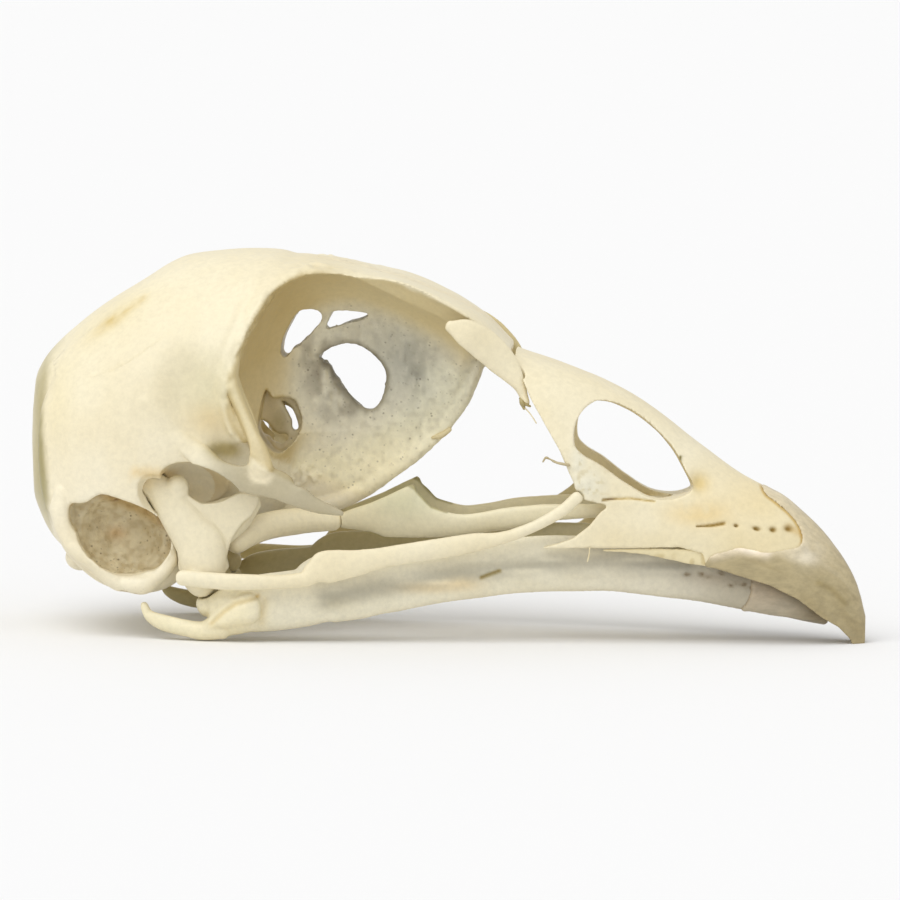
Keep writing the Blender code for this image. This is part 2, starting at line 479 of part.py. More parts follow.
def quadrate_pieces(side, grow=0.0):
    """The quadrate's plate, its body, its inner horn, its foot on the jaw and its two heads."""
    across_foot = (1.0, 0.0, 0.0)
    plate = round_outline(wider(QUADRATE_SIDE, grow), 3)
    pieces = [prism("quadrate_plate", plate, QUADRATE_PLATE + grow, side * QUADRATE_OUT),
              limb("quadrate_body", QUADRATE_BODY, side, grow),
              limb("quadrate_saddle", QUADRATE_SADDLE, side, grow),
              limb("quadrate_horn", QUADRATE_HORN, side, grow),
              limb("quadrate_foot", QUADRATE_FOOT, side, grow, across=across_foot)]
    radii = (QUADRATE_HEAD_RADIUS + grow,) * 3
    pieces += [blob("quadrate_head", place, radii, side, around=16) for place in QUADRATE_HEADS]
    return pieces


def lacrimal(name, side, grow=0.0):
    """The small plate on the front rim of the eye socket, which leans in towards its upper edge."""
    return limb(name, LACRIMAL, side, grow, samples=2, around=8, across=(0.0, side, LACRIMAL_LEAN))


def palatine_rings(side, grow=0.0, around=8, count=20):
    """The palatine: a thin upright plate between a top line and a bottom line."""
    places = np.linspace(PALATINE_TOP[0][0] - grow, PALATINE_TOP[-1][0] + grow, count)
    top, bottom = line(PALATINE_TOP, places) + grow, line(PALATINE_BOTTOM, places) - grow
    out, half = line(PALATINE_OUT, places), line(PALATINE_HALF, places) + grow
    angle = np.linspace(0.0, 2.0 * math.pi, around, endpoint=False)[None, :]
    across, up = superellipse(angle, PALATINE_POWER)
    middle, tall = (0.5 * (top + bottom))[:, None], (0.5 * (top - bottom))[:, None]
    x = np.broadcast_to(places[:, None], (count, around))
    return np.stack([x, side * (out[:, None] + across * half[:, None]), middle + up * tall], axis=-1)


def cranium():
    """Braincase, forehead and the wall between the eyes, in one bone."""
    places = BACK + (HINGE - BACK) * np.linspace(0.0, 1.0, 60) ** 1.5
    curves = [line(keys, places) for keys in (ROOF, WIDEST, BASE, HALF_WIDTH, UPPER_POWER, LOWER_POWER)]
    head = loft("cranium", places, *curves)
    pieces = [limb("rostrum", ROSTRUM), blob("neck_knob", NECK_KNOB, NECK_KNOB_RADII, around=16)]
    inside = np.linspace(BRAIN_HALF[0][0], BRAIN_HALF[-1][0], 30)
    flat = np.full_like(inside, BRAIN_POWER)
    brain = loft("brain", inside, line(ROOF, inside) - BRAIN_ROOF, line(BRAIN_WIDEST, inside),
                 line(BRAIN_FLOOR, inside), line(BRAIN_HALF, inside), flat, flat)
    cuts = [brain, limb("cord_hole", CORD_HOLE)]
    for outline in (WALL_HOLE, REAR_WINDOW, FRONT_WINDOW, OPTIC_HOLE):
        cuts.append(prism("wall_opening", round_outline(outline), HOLE_REACH))
    hollows = []
    for side, _ in SIDES:
        pieces += [limb("brow_spur", BROW_SPUR, side), limb("temple_wall", TEMPLE_WALL, side),
                   limb("cheek_blade", CHEEK_BLADE, side), limb("ear_lip", EAR_LIP, side, around=8),
                   blob("throat_knob", THROAT_KNOB, THROAT_KNOB_RADII, side, around=16),
                   blob("ear_swelling", EAR_SWELLING, EAR_SWELLING_RADII, side, fall=EAR_FALL)]
        hollows += [blob("orbit", ORBIT, ORBIT_RADII, side, ORBIT_POWER, ORBIT_FALL),
                    blob("orbit_base", ORBIT_BASE, ORBIT_BASE_RADII, side, fall=ORBIT_BASE_FALL),
                    blob("vault", VAULT, VAULT_RADII, side),
                    blob("temple_dent", TEMPLE_DENT, TEMPLE_DENT_RADII, side, fall=TEMPLE_FALL)]
        cuts += [blob("ear_bowl", EAR_BOWL, EAR_BOWL_RADII, side, fall=EAR_FALL),
                 blob("recess", RECESS, RECESS_RADII, side, fall=RECESS_FALL),
                 blob("head_notch", HEAD_NOTCH, NOTCH_RADII, side, fall=NOTCH_FALL),
                 blob("temple_pit", TEMPLE_PIT, PIT_RADII, side, fall=PIT_FALL, around=20)]
        cuts += quadrate_pieces(side, DEEP_GAP)
        cuts += [lacrimal("lacrimal_seat", side, SOCKET_GAP),
                 limb("pterygoid_seat", PTERYGOID, side, SOCKET_GAP)]
    combined(head, hollows, "DIFFERENCE")
    combined(head, pieces, "UNION")
    combined(head, cuts, "DIFFERENCE")
    return refined(head, TRIANGLES["cranium"])


def bill():
    """Upper bill: an arched shell cut to its side outline, with the nostril through it."""
    places = np.linspace(BILL_BACK, TIP, 70)
    ridge, edge = line(RIDGE, places), line(EDGE, places)
    half, power = line(BILL_HALF, places), line(BILL_POWER, places)
    turn_power, hollow_power = np.full_like(places, BILL_TURN_POWER), np.full_like(places, HOLLOW_POWER)
    shell = loft("upper_bill", places, ridge, edge, edge - BILL_TURN, half, power, turn_power)
    ceiling, sunk, inner_half = line(BILL_CEILING, places), edge - HOLLOW_DEPTH, half - BILL_WALL
    inner = ceiling > edge + HOLLOW_LEAD
    hollow_places = places[inner] - HOLLOW_LEAD
    hollow = loft("bill_hollow", hollow_places, ceiling[inner], edge[inner], sunk[inner],
                  inner_half[inner], power[inner], hollow_power[inner])
    rear_places = np.array([BILL_BACK - 1.0, BILL_BACK + 0.6])
    rear = loft("bill_rear", rear_places, ceiling[:2], edge[:2], sunk[:2], inner_half[:2], power[:2],
                hollow_power[:2])
    combined(shell, [hollow, rear], "DIFFERENCE")
    combined(shell, [prism("bill_side", BILL_SIDE, BILL_REACH)], "INTERSECT")
    combined(shell, [limb("palate_shelf", PALATE_SHELF, side) for side, _ in SIDES], "UNION")
    cuts = [prism("nostril", round_outline(NOSTRIL, 4), BILL_REACH)]
    for side, _ in SIDES:
        cuts += [lacrimal("lacrimal_seat", side, SOCKET_GAP), limb("jugal_seat", JUGAL, side, SOCKET_GAP),
                 skin("palatine_seat", palatine_rings(side, SOCKET_GAP))]
    combined(shell, cuts, "DIFFERENCE")
    refined(shell, TRIANGLES["upper_bill"], passes=2)
    bone, horn = parted(shell, "bill_sheath", HORN_EDGE, BILL_REACH)
    return bone, rested(horn)


def lower_jaw():
    """Lower jaw: two rami that meet in a spoon-shaped chin, with the joint at the back."""
    jaw = limb("lower_jaw", JAW_CHIN)
    pieces, cuts = [], []
    for side, _ in SIDES:
        pieces += [limb("ramus", JAW_RAMUS, side, around=14), limb("boss", JAW_BOSS, side),
                   limb("inner_spur", JAW_INNER_SPUR, side, across=(1.0, 0.0, 0.0)),
                   limb("rear_spur", JAW_REAR_SPUR, side)]
        cuts += quadrate_pieces(side, SOCKET_GAP) + [limb("jugal_seat", JUGAL, side, SOCKET_GAP)]
    combined(jaw, pieces, "UNION")
    combined(jaw, cuts, "DIFFERENCE")
    refined(jaw, TRIANGLES["lower_jaw"], passes=2)
    bone, horn = parted(jaw, "lower_sheath", LOWER_HORN_EDGE, JAW_REACH)
    return rested(bone), horn


def quadrate(side, name):
    """The bone between braincase and jaw, cut clear of the jugal and the pterygoid."""
    body, *rest = quadrate_pieces(side)
    body.name = "quadrate_" + name
    combined(body, rest, "UNION")
    seats = [limb("jugal_seat", JUGAL, side, SOCKET_GAP), limb("pterygoid_seat", PTERYGOID, side, GAP)]
    combined(body, seats, "DIFFERENCE")
    return refined(body, TRIANGLES["quadrate"], passes=2, voxel=FINE_VOXEL)


def palatine(side, name):
    """The palatine, cut clear of the pterygoid behind it."""
    plate = skin("palatine_" + name, palatine_rings(side))
    return combined(plate, [limb("pterygoid_seat", PTERYGOID, side, GAP)], "DIFFERENCE")


def finish(made, colour):
    """Give a bone its own plain material."""
    red, green, blue, roughness = colour
    material = bpy.data.materials.new(made.name)
    material.use_nodes = True
    shader = material.node_tree.nodes["Principled BSDF"]
    shader.inputs["Base Color"].default_value = (red, green, blue, 1.0)
    shader.inputs["Roughness"].default_value = roughness
    shader.inputs["Metallic"].default_value = 0.0
    made.data.materials.clear()
    made.data.materials.append(material)
    made.data.shade_smooth()
    return made


def main():
    """Clear the scene, make every bone and both horns, and put them in one collection."""
    for old in list(bpy.data.objects):
        bpy.data.objects.remove(old)
    bones = [cranium()]
    bill_bone, bill_horn = bill()
    jaw_bone, jaw_horn = lower_jaw()
    bones += [bill_bone, jaw_bone]
    for side, name in SIDES:
        bones += [quadrate(side, name), palatine(side, name),
                  limb("jugal_" + name, JUGAL, side, samples=2, around=8),
                  limb("pterygoid_" + name, PTERYGOID, side, samples=3, around=8),
                  lacrimal("lacrimal_" + name, side)]
    skull = bpy.data.collections.new("pheasant_skull")
    bpy.context.scene.collection.children.link(skull)
    for bone in bones:
        finish(bone, PALE_BONE if bone.name.startswith("lower") else BONE)
    for horn in (bill_horn, jaw_horn):
        finish(horn, HORN)
    for made in bones + [bill_horn, jaw_horn]:
        bpy.context.scene.collection.objects.unlink(made)
        skull.objects.link(made)
        print(made.name, triangle_count(made), "triangles")


if __name__ == "__main__":
    main()
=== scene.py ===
# %% [markdown]
# # The skull of a cock pheasant
#
# The object is a clean, dry skull with its lower jaw, about seven centimetres long. The fixed
# frame that this script loads already has every bone as a plain closed solid. What is made here
# is the surface a museum visitor would see: the same bones with their true edges, hollows, pores
# and stains, the horn of the bill, the floor, the light and the camera. Lengths are written in
# millimetres, as a person with a caliper would read them off, and become metres in the meshes.

# %% The frame
import itertools
import math

import bmesh
import bpy
import numpy as np
from mathutils import Matrix, Vector


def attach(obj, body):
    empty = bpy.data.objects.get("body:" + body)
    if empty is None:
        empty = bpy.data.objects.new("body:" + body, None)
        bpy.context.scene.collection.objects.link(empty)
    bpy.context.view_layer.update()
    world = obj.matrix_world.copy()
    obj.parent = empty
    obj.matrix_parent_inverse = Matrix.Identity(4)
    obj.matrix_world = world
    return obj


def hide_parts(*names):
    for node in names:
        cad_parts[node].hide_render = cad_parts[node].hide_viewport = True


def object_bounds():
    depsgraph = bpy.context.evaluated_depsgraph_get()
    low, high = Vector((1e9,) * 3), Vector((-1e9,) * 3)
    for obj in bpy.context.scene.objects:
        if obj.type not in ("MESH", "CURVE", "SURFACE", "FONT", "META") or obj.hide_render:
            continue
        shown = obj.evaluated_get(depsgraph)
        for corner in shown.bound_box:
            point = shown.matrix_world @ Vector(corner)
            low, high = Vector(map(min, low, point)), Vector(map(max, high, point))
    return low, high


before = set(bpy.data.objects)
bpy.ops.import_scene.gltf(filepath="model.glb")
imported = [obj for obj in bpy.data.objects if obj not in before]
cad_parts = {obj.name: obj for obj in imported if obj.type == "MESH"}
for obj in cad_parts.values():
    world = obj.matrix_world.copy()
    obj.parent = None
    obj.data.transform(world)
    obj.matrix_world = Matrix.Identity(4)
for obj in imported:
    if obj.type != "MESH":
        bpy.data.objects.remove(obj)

MM = 0.001
RIGHT, LEFT = -1, 1
SIDES = ((RIGHT, "right"), (LEFT, "left"))
BODY = "root"
cad_box = [list(corner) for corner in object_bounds()]
print("the frame is", [round((high - low) / MM, 1) for low, high in zip(*cad_box)], "mm")

# %% [markdown]
# ## Smooth curves through a few points
#
# A bone's outline is known at a handful of places: how high the roof is over the eye, how wide
# the head is behind it. Straight lines between them would look like cut cardboard, and a cubic
# spline would swing past them. The curve below is a cubic whose slope at each place is the
# harmonic mean of the slopes on its two sides, so it never overshoots.

# %% Smooth curves
def smooth_through(keys, places):
    """Values at some places of a curve through keys, which are rows of a place and its values.

    Between two keys it is Hermite's cubic: start value times (1 - s), end value times s, with
    s = t t (3 - 2 t), plus the two slopes times t (1 - t)^2 and t^2 (t - 1). A slope is the
    harmonic mean of the slopes before and after its key, and zero at a peak or a dip.
    """
    keys = np.asarray(keys, dtype=float)
    place, value = keys[:, 0], keys[:, 1:]
    run = np.diff(place)[:, None]
    slope = np.diff(value, axis=0) / run
    before, after = slope[:-1], slope[1:]
    same_way = before * after > 0.0
    mean = 2.0 * before * after / np.where(same_way, before + after, 1.0)
    tangent = np.vstack([slope[:1], np.where(same_way, mean, 0.0), slope[-1:]])
    places = np.clip(places, place[0], place[-1])
    step = np.clip(np.searchsorted(place, places, side="right") - 1, 0, len(place) - 2)
    t = (places - place[step])[:, None] / run[step]
    s = t * t * (3.0 - 2.0 * t)
    leave = t * (1.0 - t) ** 2 * run[step]
    reach = t * t * (t - 1.0) * run[step]
    straight = value[step] * (1.0 - s) + value[step + 1] * s
    return straight + tangent[step] * leave + tangent[step + 1] * reach


def line(keys, places):
    """One value of such a curve at each place."""
    return smooth_through(keys, places)[:, 0]


def round_outline(points, samples=8):
    """A smooth closed outline in x and z through a few points.

    Catmull and Rom's cubic: half of 2 p1 + (p2 - p0) t + (2 p0 - 5 p1 + 4 p2 - p3) t^2
    + (3 p1 - p0 - 3 p2 + p3) t^3, for every run of four neighbours at once.
    """
    points = np.asarray(points, dtype=float)
    t = (np.arange(samples) / samples)[None, :, None]
    before, here = np.roll(points, 1, axis=0)[:, None], points[:, None]
    after, later = np.roll(points, -1, axis=0)[:, None], np.roll(points, -2, axis=0)[:, None]
    curve = 0.5 * (2 * here + (after - before) * t + (2 * before - 5 * here + 4 * after - later) * t ** 2
                   + (3 * here - before - 3 * after + later) * t ** 3)
    return curve.reshape(-1, 2)


def round_path(points, samples=6):
    """A smooth open path through points, by the same rule with its two ends repeated."""
    points = np.asarray(points, dtype=float)
    whole = round_outline(np.vstack([points[:1], points, points[-1:]]), samples)
    return whole[samples:-2 * samples + 1]


square = ((0, 0), (1, 0), (1, 1), (0, 1))
print("a square of 4 points becomes a round outline of", len(round_outline(square)))

# %% [markdown]
# ## A closed skin over a grid
#
# Nearly every bone here is a stack of rings: sections across the head, or across a bar. Such a
# stack is a grid of points with one row for each ring, so the faces can be worked out from the
# row and column numbers alone, for the whole mesh at once. A fan to the middle of the first and
# of the last ring closes the skin, because a Boolean and a voxel remesh both need it closed.

# %% Skins
def linked(name, mesh):
    """A new object of a mesh, in the scene."""
    made = bpy.data.objects.new(name, mesh)
    bpy.context.scene.collection.objects.link(made)
    return made


def outward(mesh):
    """Turn the faces of a closed mesh out."""
    shape = bmesh.new()
    shape.from_mesh(mesh)
    bmesh.ops.recalc_face_normals(shape, faces=shape.faces)
    if shape.calc_volume(signed=True) < 0.0:
        bmesh.ops.reverse_faces(shape, faces=shape.faces)
    shape.to_mesh(mesh)
    shape.free()
    return mesh


def skin(name, rings):
    """A closed skin over rings of points in millimetres.

    Point (i, k) of the grid joins (i, k + 1), (i + 1, k + 1) and (i + 1, k) in one face, with k
    counted round the ring.
    """
    rings = np.asarray(rings, dtype=float)
    count, around = rings.shape[:2]
    points = np.vstack([rings.reshape(-1, 3), rings[0].mean(axis=0), rings[-1].mean(axis=0)]) * MM
    here = np.arange(around)
    after = (here + 1) % around
    row = np.arange(count - 1)[:, None] * around
    walls = np.stack([row + here, row + after, row + around + after, row + around + here], axis=-1)
    start, end = np.full(around, count * around), np.full(around, count * around + 1)
    last = (count - 1) * around
    fans = np.vstack([np.stack([start, after, here], axis=-1),
                      np.stack([end, last + here, last + after], axis=-1)])
    mesh = bpy.data.meshes.new(name)
    mesh.from_pydata(points.tolist(), [], walls.reshape(-1, 4).tolist() + fans.tolist())
    return linked(name, outward(mesh))


print("a skin of 30 rings of 20 points has", 29 * 20, "walls and", 2 * 20, "fan faces")

# %% [markdown]
# ## Sections across the head
#
# A head cut across is neither a circle nor a box. A superellipse lies between the two: it is a
# circle whose cosine and sine are raised to a power, so a single number makes it rounder or
# boxier. The upper and the lower half of a section take a number each, because the roof of a
# skull is round and its floor is keeled or flat.

# %% Sections
def superellipse(angle, power):
    """Cosine and sine of an angle, each with its size raised to 2 over the power.

    Power 2 is a circle, more is squarer, and 1 is a diamond.
    """
    across, up = np.cos(angle), np.sin(angle)
    return np.sign(across) * np.abs(across) ** (2.0 / power), np.sign(up) * np.abs(up) ** (2.0 / power)


def loft(name, places, ridge, widest, floor, half_width, upper_power, lower_power, around=84):
    """Sections across x, each of two half superellipses that meet at the widest level.

    A point at an angle is y = half width * cos, z = widest + sin * (ridge - widest) above that
    level, and widest + sin * (widest - floor) below it.
    """
    angle = np.linspace(0.0, 2.0 * math.pi, around, endpoint=False)[None, :]
    power = np.where(np.sin(angle) > 0.0, upper_power[:, None], lower_power[:, None])
    across, up = superellipse(angle, power)
    height = np.where(up > 0.0, (ridge - widest)[:, None], (widest - floor)[:, None])
    x = np.broadcast_to(places[:, None], across.shape)
    return skin(name, np.stack([x, across * half_width[:, None], widest[:, None] + up * height], axis=-1))


print("power 2 leaves 45 degrees at", *(value.round(3) for value in superellipse(math.radians(45.0), 2.0)))

# %% [markdown]
# ## Bars and lumps
#
# Most small bones are bars that change their thickness on the way: spurs, struts, the cheek bar.
# They are a profile carried along a path, an oval whose two half sizes are read off at a few
# stations. A curve object with a bevel would do the same, but its section can't be wider at one
# place and taller at another. Sockets, knobs and bowls are lumps: spheres whose sections and
# whose side view are superellipses, so that one number squares them off.

# %% Bars and lumps
def limb(name, stations, side=RIGHT, grow=0.0, samples=8, around=20, across=(0.0, 1.0, 0.0)):
    """A bar with an oval section along a smooth path.

    Each station is x, distance out, z, half thickness and half height in millimetres. The
    section's thickness runs along the across direction, squared to the path, and its height runs
    along path x thickness. Three smaller rings past each end follow a quarter of an ellipse.
    """
    stations = np.asarray(stations, dtype=float)
    places = np.concatenate([[0.0], np.cumsum(np.linalg.norm(np.diff(stations[:, :3], axis=0), axis=1))])
    at = np.interp(np.arange((len(stations) - 1) * samples + 1) / samples, np.arange(len(stations)), places)
    curve = smooth_through(np.column_stack([places, stations]), at)
    path, half = curve[:, :3].copy(), curve[:, 3:] + grow
    path[:, 1] *= side
    ahead = np.gradient(path, axis=0)
    ahead /= np.linalg.norm(ahead, axis=1)[:, None]
    sideways = np.asarray(across) - ahead * (ahead @ np.asarray(across))[:, None]
    sideways /= np.linalg.norm(sideways, axis=1)[:, None]
    turn = np.linspace(0.0, 0.5 * math.pi, 5)[1:-1]
    past, shrink = np.sin(turn)[:, None], np.cos(turn)[:, None]
    lead, tail = half[0].min(), half[-1].min()
    path = np.vstack([(path[0] - ahead[0] * lead * past)[::-1], path, path[-1] + ahead[-1] * tail * past])
    half = np.vstack([(half[0] * shrink)[::-1], half, half[-1] * shrink])
    ahead = np.vstack([ahead[:1].repeat(3, axis=0), ahead, ahead[-1:].repeat(3, axis=0)])
    sideways = np.vstack([sideways[:1].repeat(3, axis=0), sideways, sideways[-1:].repeat(3, axis=0)])
    up = np.cross(ahead, sideways)
    angle = np.linspace(0.0, 2.0 * math.pi, around, endpoint=False)
    rings = (path[:, None] + sideways[:, None] * (half[:, :1] * np.cos(angle))[..., None]
             + up[:, None] * (half[:, 1:] * np.sin(angle))[..., None])
    return skin(name, rings)


def blob(name, place, radii, side=RIGHT, power=2.0, fall=0.0, around=48):
    """A superellipsoid, turned about y so that its long axis falls towards the bill.

    x = cos-like of the latitude, and y and z = sin-like of the latitude times a superellipse of
    the longitude, each times its radius.
    """
    tilt = np.linspace(-0.5 * math.pi, 0.5 * math.pi, around // 2 + 1)[1:-1, None]
    angle = np.linspace(0.0, 2.0 * math.pi, around, endpoint=False)[None, :]
    out, along = superellipse(tilt, power)
    across, up = superellipse(angle, power)
    rings = np.stack([np.broadcast_to(along, (len(tilt), around)), out * across, out * up], axis=-1)
    rings = rings * np.asarray(radii)
    cos, sin = math.cos(fall), math.sin(fall)
    turned = np.stack([rings[..., 0] * cos + rings[..., 2] * sin, rings[..., 1],
                       rings[..., 2] * cos - rings[..., 0] * sin], axis=-1)
    return skin(name, turned + np.asarray(place) * (1.0, side, 1.0))


trial = limb("trial", ((0, 0, 0, 1, 1), (9, 0, 0, 1, 1)))
print("a straight bar with two stations has", len(trial.data.polygons), "faces")
bpy.data.objects.remove(trial)

# %% [markdown]
# ## Cutting and joining
#
# A skull is one bone with hollows scooped out and struts grown on, so Booleans give its form.
# Windows through thin bone are known as outlines in the side view. A flat curve fills such an
# outline and draws it out to a plate, which then cuts like a biscuit cutter. Several tools go
# into one Boolean as a collection, which is faster than one modifier for each.

# %% Cutting and joining
def prism(name, outline, reach, middle=0.0):
    """A flat outline in x and z, filled, and drawn out to both sides of a plane of constant y."""
    curve = bpy.data.curves.new(name, "CURVE")
    curve.dimensions = "2D"
    curve.fill_mode = "BOTH"
    curve.extrude = reach * MM
    spline = curve.splines.new("POLY")
    spline.points.add(len(outline) - 1)
    flat = np.zeros((len(outline), 4))
    flat[:, :2], flat[:, 3] = np.asarray(outline) * MM, 1.0
    spline.points.foreach_set("co", flat.ravel())
    spline.use_cyclic_u = True
    drawn = linked(name + "_outline", curve)
    drawn.location.y = middle * MM
    drawn.rotation_euler = (0.5 * math.pi, 0.0, 0.0)
    bpy.context.view_layer.update()
    mesh = bpy.data.meshes.new_from_object(drawn.evaluated_get(bpy.context.evaluated_depsgraph_get()))
    mesh.transform(drawn.matrix_world)
    bpy.data.objects.remove(drawn)
    shape = bmesh.new()
    shape.from_mesh(mesh)
    bmesh.ops.remove_doubles(shape, verts=shape.verts, dist=0.00001)
    shape.to_mesh(mesh)
    shape.free()
    return linked(name, outward(mesh))


def settled(made):
    """Replace an object's mesh by its evaluated one and drop its modifiers."""
    bpy.context.view_layer.update()
    mesh = bpy.data.meshes.new_from_object(made.evaluated_get(bpy.context.evaluated_depsgraph_get()))
    made.modifiers.clear()
    made.data = mesh
    return made


def tidied(made):
    """Drop edges and faces without size and split the rest into triangles, for a clean Boolean."""
    shape = bmesh.new()
    shape.from_mesh(made.data)
    bmesh.ops.dissolve_degenerate(shape, dist=0.00001, edges=shape.edges)
    bmesh.ops.remove_doubles(shape, verts=shape.verts, dist=0.00001)
    bmesh.ops.triangulate(shape, faces=shape.faces)
    shape.to_mesh(made.data)
    shape.free()


def combined(base, others, operation):
    """Join, cut or trim an object by a list of closed ones, which are removed.

    The exact solver is slow, but it copes with faces that lie on each other.
    """
    tidied(base)
    group = bpy.data.collections.new("with_" + base.name)
    for other in others:
        group.objects.link(other)
    boolean = base.modifiers.new(operation.lower(), "BOOLEAN")
    boolean.operation = operation
    boolean.solver = "EXACT"
    boolean.operand_type = "COLLECTION"
    boolean.collection = group
    settled(base)
    for other in others:
        bpy.data.objects.remove(other)
    bpy.data.collections.remove(group)


trial, knob = limb("trial", ((0, 0, 0, 1, 1), (9, 0, 0, 1, 1))), blob("knob", (4.5, 0, 1), (2, 2, 2))
combined(trial, [knob], "UNION")
print("a bar with a knob on it has", len(trial.data.polygons), "faces")
bpy.data.objects.remove(trial)

# %% [markdown]
# ## A mesh as arrays
#
# Relief, smoothing and stains all work on a mesh's points. Read one by one they would take minutes,
# so they are fetched in one go as an array with a row for each point, changed as a whole, and put
# back. The edges come as an array too: counting along it gives the mean of each point's
# neighbours, and handing the lowest number on along it tells separate surfaces apart.

# %% Points and neighbours
def points_of(mesh):
    """Places of a mesh's points in millimetres."""
    flat = np.empty(len(mesh.vertices) * 3)
    mesh.vertices.foreach_get("co", flat)
    return flat.reshape(-1, 3) / MM


def normals_of(mesh):
    """Outward directions at a mesh's points."""
    flat = np.empty(len(mesh.vertices) * 3, dtype=np.float32)
    mesh.vertex_normals.foreach_get("vector", flat)
    return flat.reshape(-1, 3).astype(float)


def moved(made, points):
    """Give a mesh's points new places, in millimetres."""
    made.data.vertices.foreach_set("co", (points * MM).ravel())
    made.data.update()
    return made


def averaged(mesh, values, rounds=1, pull=1.0, push=0.0):
    """Ease values over the mesh: each point moves by a share of the way to its neighbours' mean.

    The share is pull, and after each round a second one with the share -push can follow.
    """
    links = np.empty(len(mesh.edges) * 2, dtype=np.int32)
    mesh.edges.foreach_get("vertices", links)
    a, b = links.reshape(-1, 2).T
    count = len(mesh.vertices)
    near = np.maximum(np.bincount(a, minlength=count) + np.bincount(b, minlength=count), 1)
    values = np.array(values, dtype=float)
    for share in (pull, -push) * rounds:
        if share:
            for column in values.T:
                total = np.bincount(a, column[b], count) + np.bincount(b, column[a], count)
                column += share * (total / near - column)
    return values


def labels(mesh):
    """A number for each point that is the same over each connected surface.

    Every point takes the lowest number among its neighbours until nothing changes.
    """
    links = np.empty(len(mesh.edges) * 2, dtype=np.int32)
    mesh.edges.foreach_get("vertices", links)
    a, b = links.reshape(-1, 2).T
    label = np.arange(len(mesh.vertices))
    changed = True
    while changed:
        before = label.copy()
        low = np.minimum(label[a], label[b])
        np.minimum.at(label, a, low)
        np.minimum.at(label, b, low)
        label = label[label]
        changed = bool((label != before).any())
    return label


def without(made, dropped):
    """Take out the points that an array of true and false marks."""
    shape = bmesh.new()
    shape.from_mesh(made.data)
    scraps = [vertex for vertex, gone in zip(shape.verts, dropped.tolist()) if gone]
    bmesh.ops.delete(shape, geom=scraps, context="VERTS")
    shape.to_mesh(made.data)
    shape.free()
    return made


def largest(made):
    """Keep the largest closed surface, which drops loose scraps."""
    label = labels(made.data)
    return without(made, label != np.bincount(label).argmax())


# %% [markdown]
# ## Melting and thinning
#
# Booleans leave knife-sharp seams that bone never has. A voxel remesh turns the result into one
# even skin, and a few rounds of smoothing then melt the seams. Smoothing alone would shrink a thin
# strut, so each round inwards is followed by a slightly longer round outwards, which is Taubin's
# method. When the relief is in, the skin is thinned where it is flat, so that it stays light.

# %% Melting and thinning
def melted(made, voxel, rounds):
    """One even closed skin of quads the size of a voxel, smoothed without shrinking."""
    remesh = made.modifiers.new("even", "REMESH")
    remesh.mode = "VOXEL"
    remesh.voxel_size = voxel * MM
    largest(settled(made))
    return moved(made, averaged(made.data, points_of(made.data), rounds, 0.5, 0.52))


def thinned(made, triangles):
    """Thin a mesh to a number of triangles, fewest where it is flat."""
    count = len(made.data.loops) - 2 * len(made.data.polygons)
    if count > triangles:
        thin = made.modifiers.new("thin", "DECIMATE")
        thin.ratio = triangles / count
        thin.use_collapse_triangulate = True
        settled(made)
    print(made.name, count, "triangles, kept", min(count, triangles))
    return made


trial = melted(blob("trial", (0, 0, 0), (2, 2, 2)), 0.5, 3)
print("a melted ball of 4 mm measures", *np.ptp(points_of(trial.data), axis=0).round(1), "mm")
bpy.data.objects.remove(trial)

# %% [markdown]
# ## Relief worked out from places
#
# What makes dry bone look real is small: a crest where a muscle held on, pits beside the ear, a
# porous wall between the eyes, a yellow streak where fat soaked in. A bump map would fake some of
# it, but its outline would stay smooth, so the relief is real here: each point of a fine mesh
# moves along its normal by a height worked out from its place. Two things give the heights:
# smooth random grain, and how close a place lies to a mark.

# %% Grain and slopes
LATTICE = np.random.default_rng(11).random((32, 32, 32))


def grain(points, size, shift=0.0):
    """Smooth random numbers from -1 to 1 at some places, with lumps of a size in millimetres.

    Random values sit on a cubic lattice. A place takes the values of its cell's eight corners,
    each times the product of t or 1 - t along x, y and z, with t eased as t t (3 - 2 t).
    """
    place = points / size + shift
    low = np.floor(place).astype(int)
    t = place - low
    t = t * t * (3.0 - 2.0 * t)
    total = np.zeros(len(points))
    for corner in itertools.product((0, 1), repeat=3):
        weight = np.where(corner, t, 1.0 - t).prod(axis=1)
        i, j, k = ((low + corner) % 32).T
        total += weight * LATTICE[i, j, k]
    return 2.0 * total - 1.0


def rise(values, low, high):
    """0 below low, 1 above high, and t t (3 - 2 t) between; high may be the smaller one."""
    t = np.clip((values - low) / (high - low), 0.0, 1.0)
    return t * t * (3.0 - 2.0 * t)


trial = grain(np.random.default_rng(1).random((999, 3)) * 30.0, 1.0)
print("a grain of 1 mm ranges from", trial.min().round(2), "to", trial.max().round(2))

# %% Distances to marks
def aside(points):
    """How far each point lies from the middle plane of the skull."""
    return np.abs(points[:, 1])


def near(points, place, radii, fall=0.0, side=0):
    """1 at a place, fading as exp(-r r), with r the distance in units of three radii.

    The radii are turned about y by the fall angle. A side of 0 gives the same on both sides.
    """
    x, y, z = points.T
    out = np.abs(y) if side == 0 else y * side
    dx, dy, dz = x - place[0], out - place[1], z - place[2]
    cos, sin = math.cos(fall), math.sin(fall)
    along, up = dx * cos - dz * sin, dx * sin + dz * cos
    return np.exp(-(along / radii[0]) ** 2 - (dy / radii[1]) ** 2 - (up / radii[2]) ** 2)


def away(points, path):
    """Distance in the side view, in x and z, from each point to a path of straight runs."""
    flat = points[:, (0, 2)]
    path = np.asarray(path, dtype=float)
    least = np.full(len(flat), np.inf)
    for start, end in zip(path[:-1], path[1:]):
        run = end - start
        t = np.clip(((flat - start) @ run) / (run @ run), 0.0, 1.0)
        least = np.minimum(least, np.linalg.norm(flat - start - t[:, None] * run, axis=1))
    return least


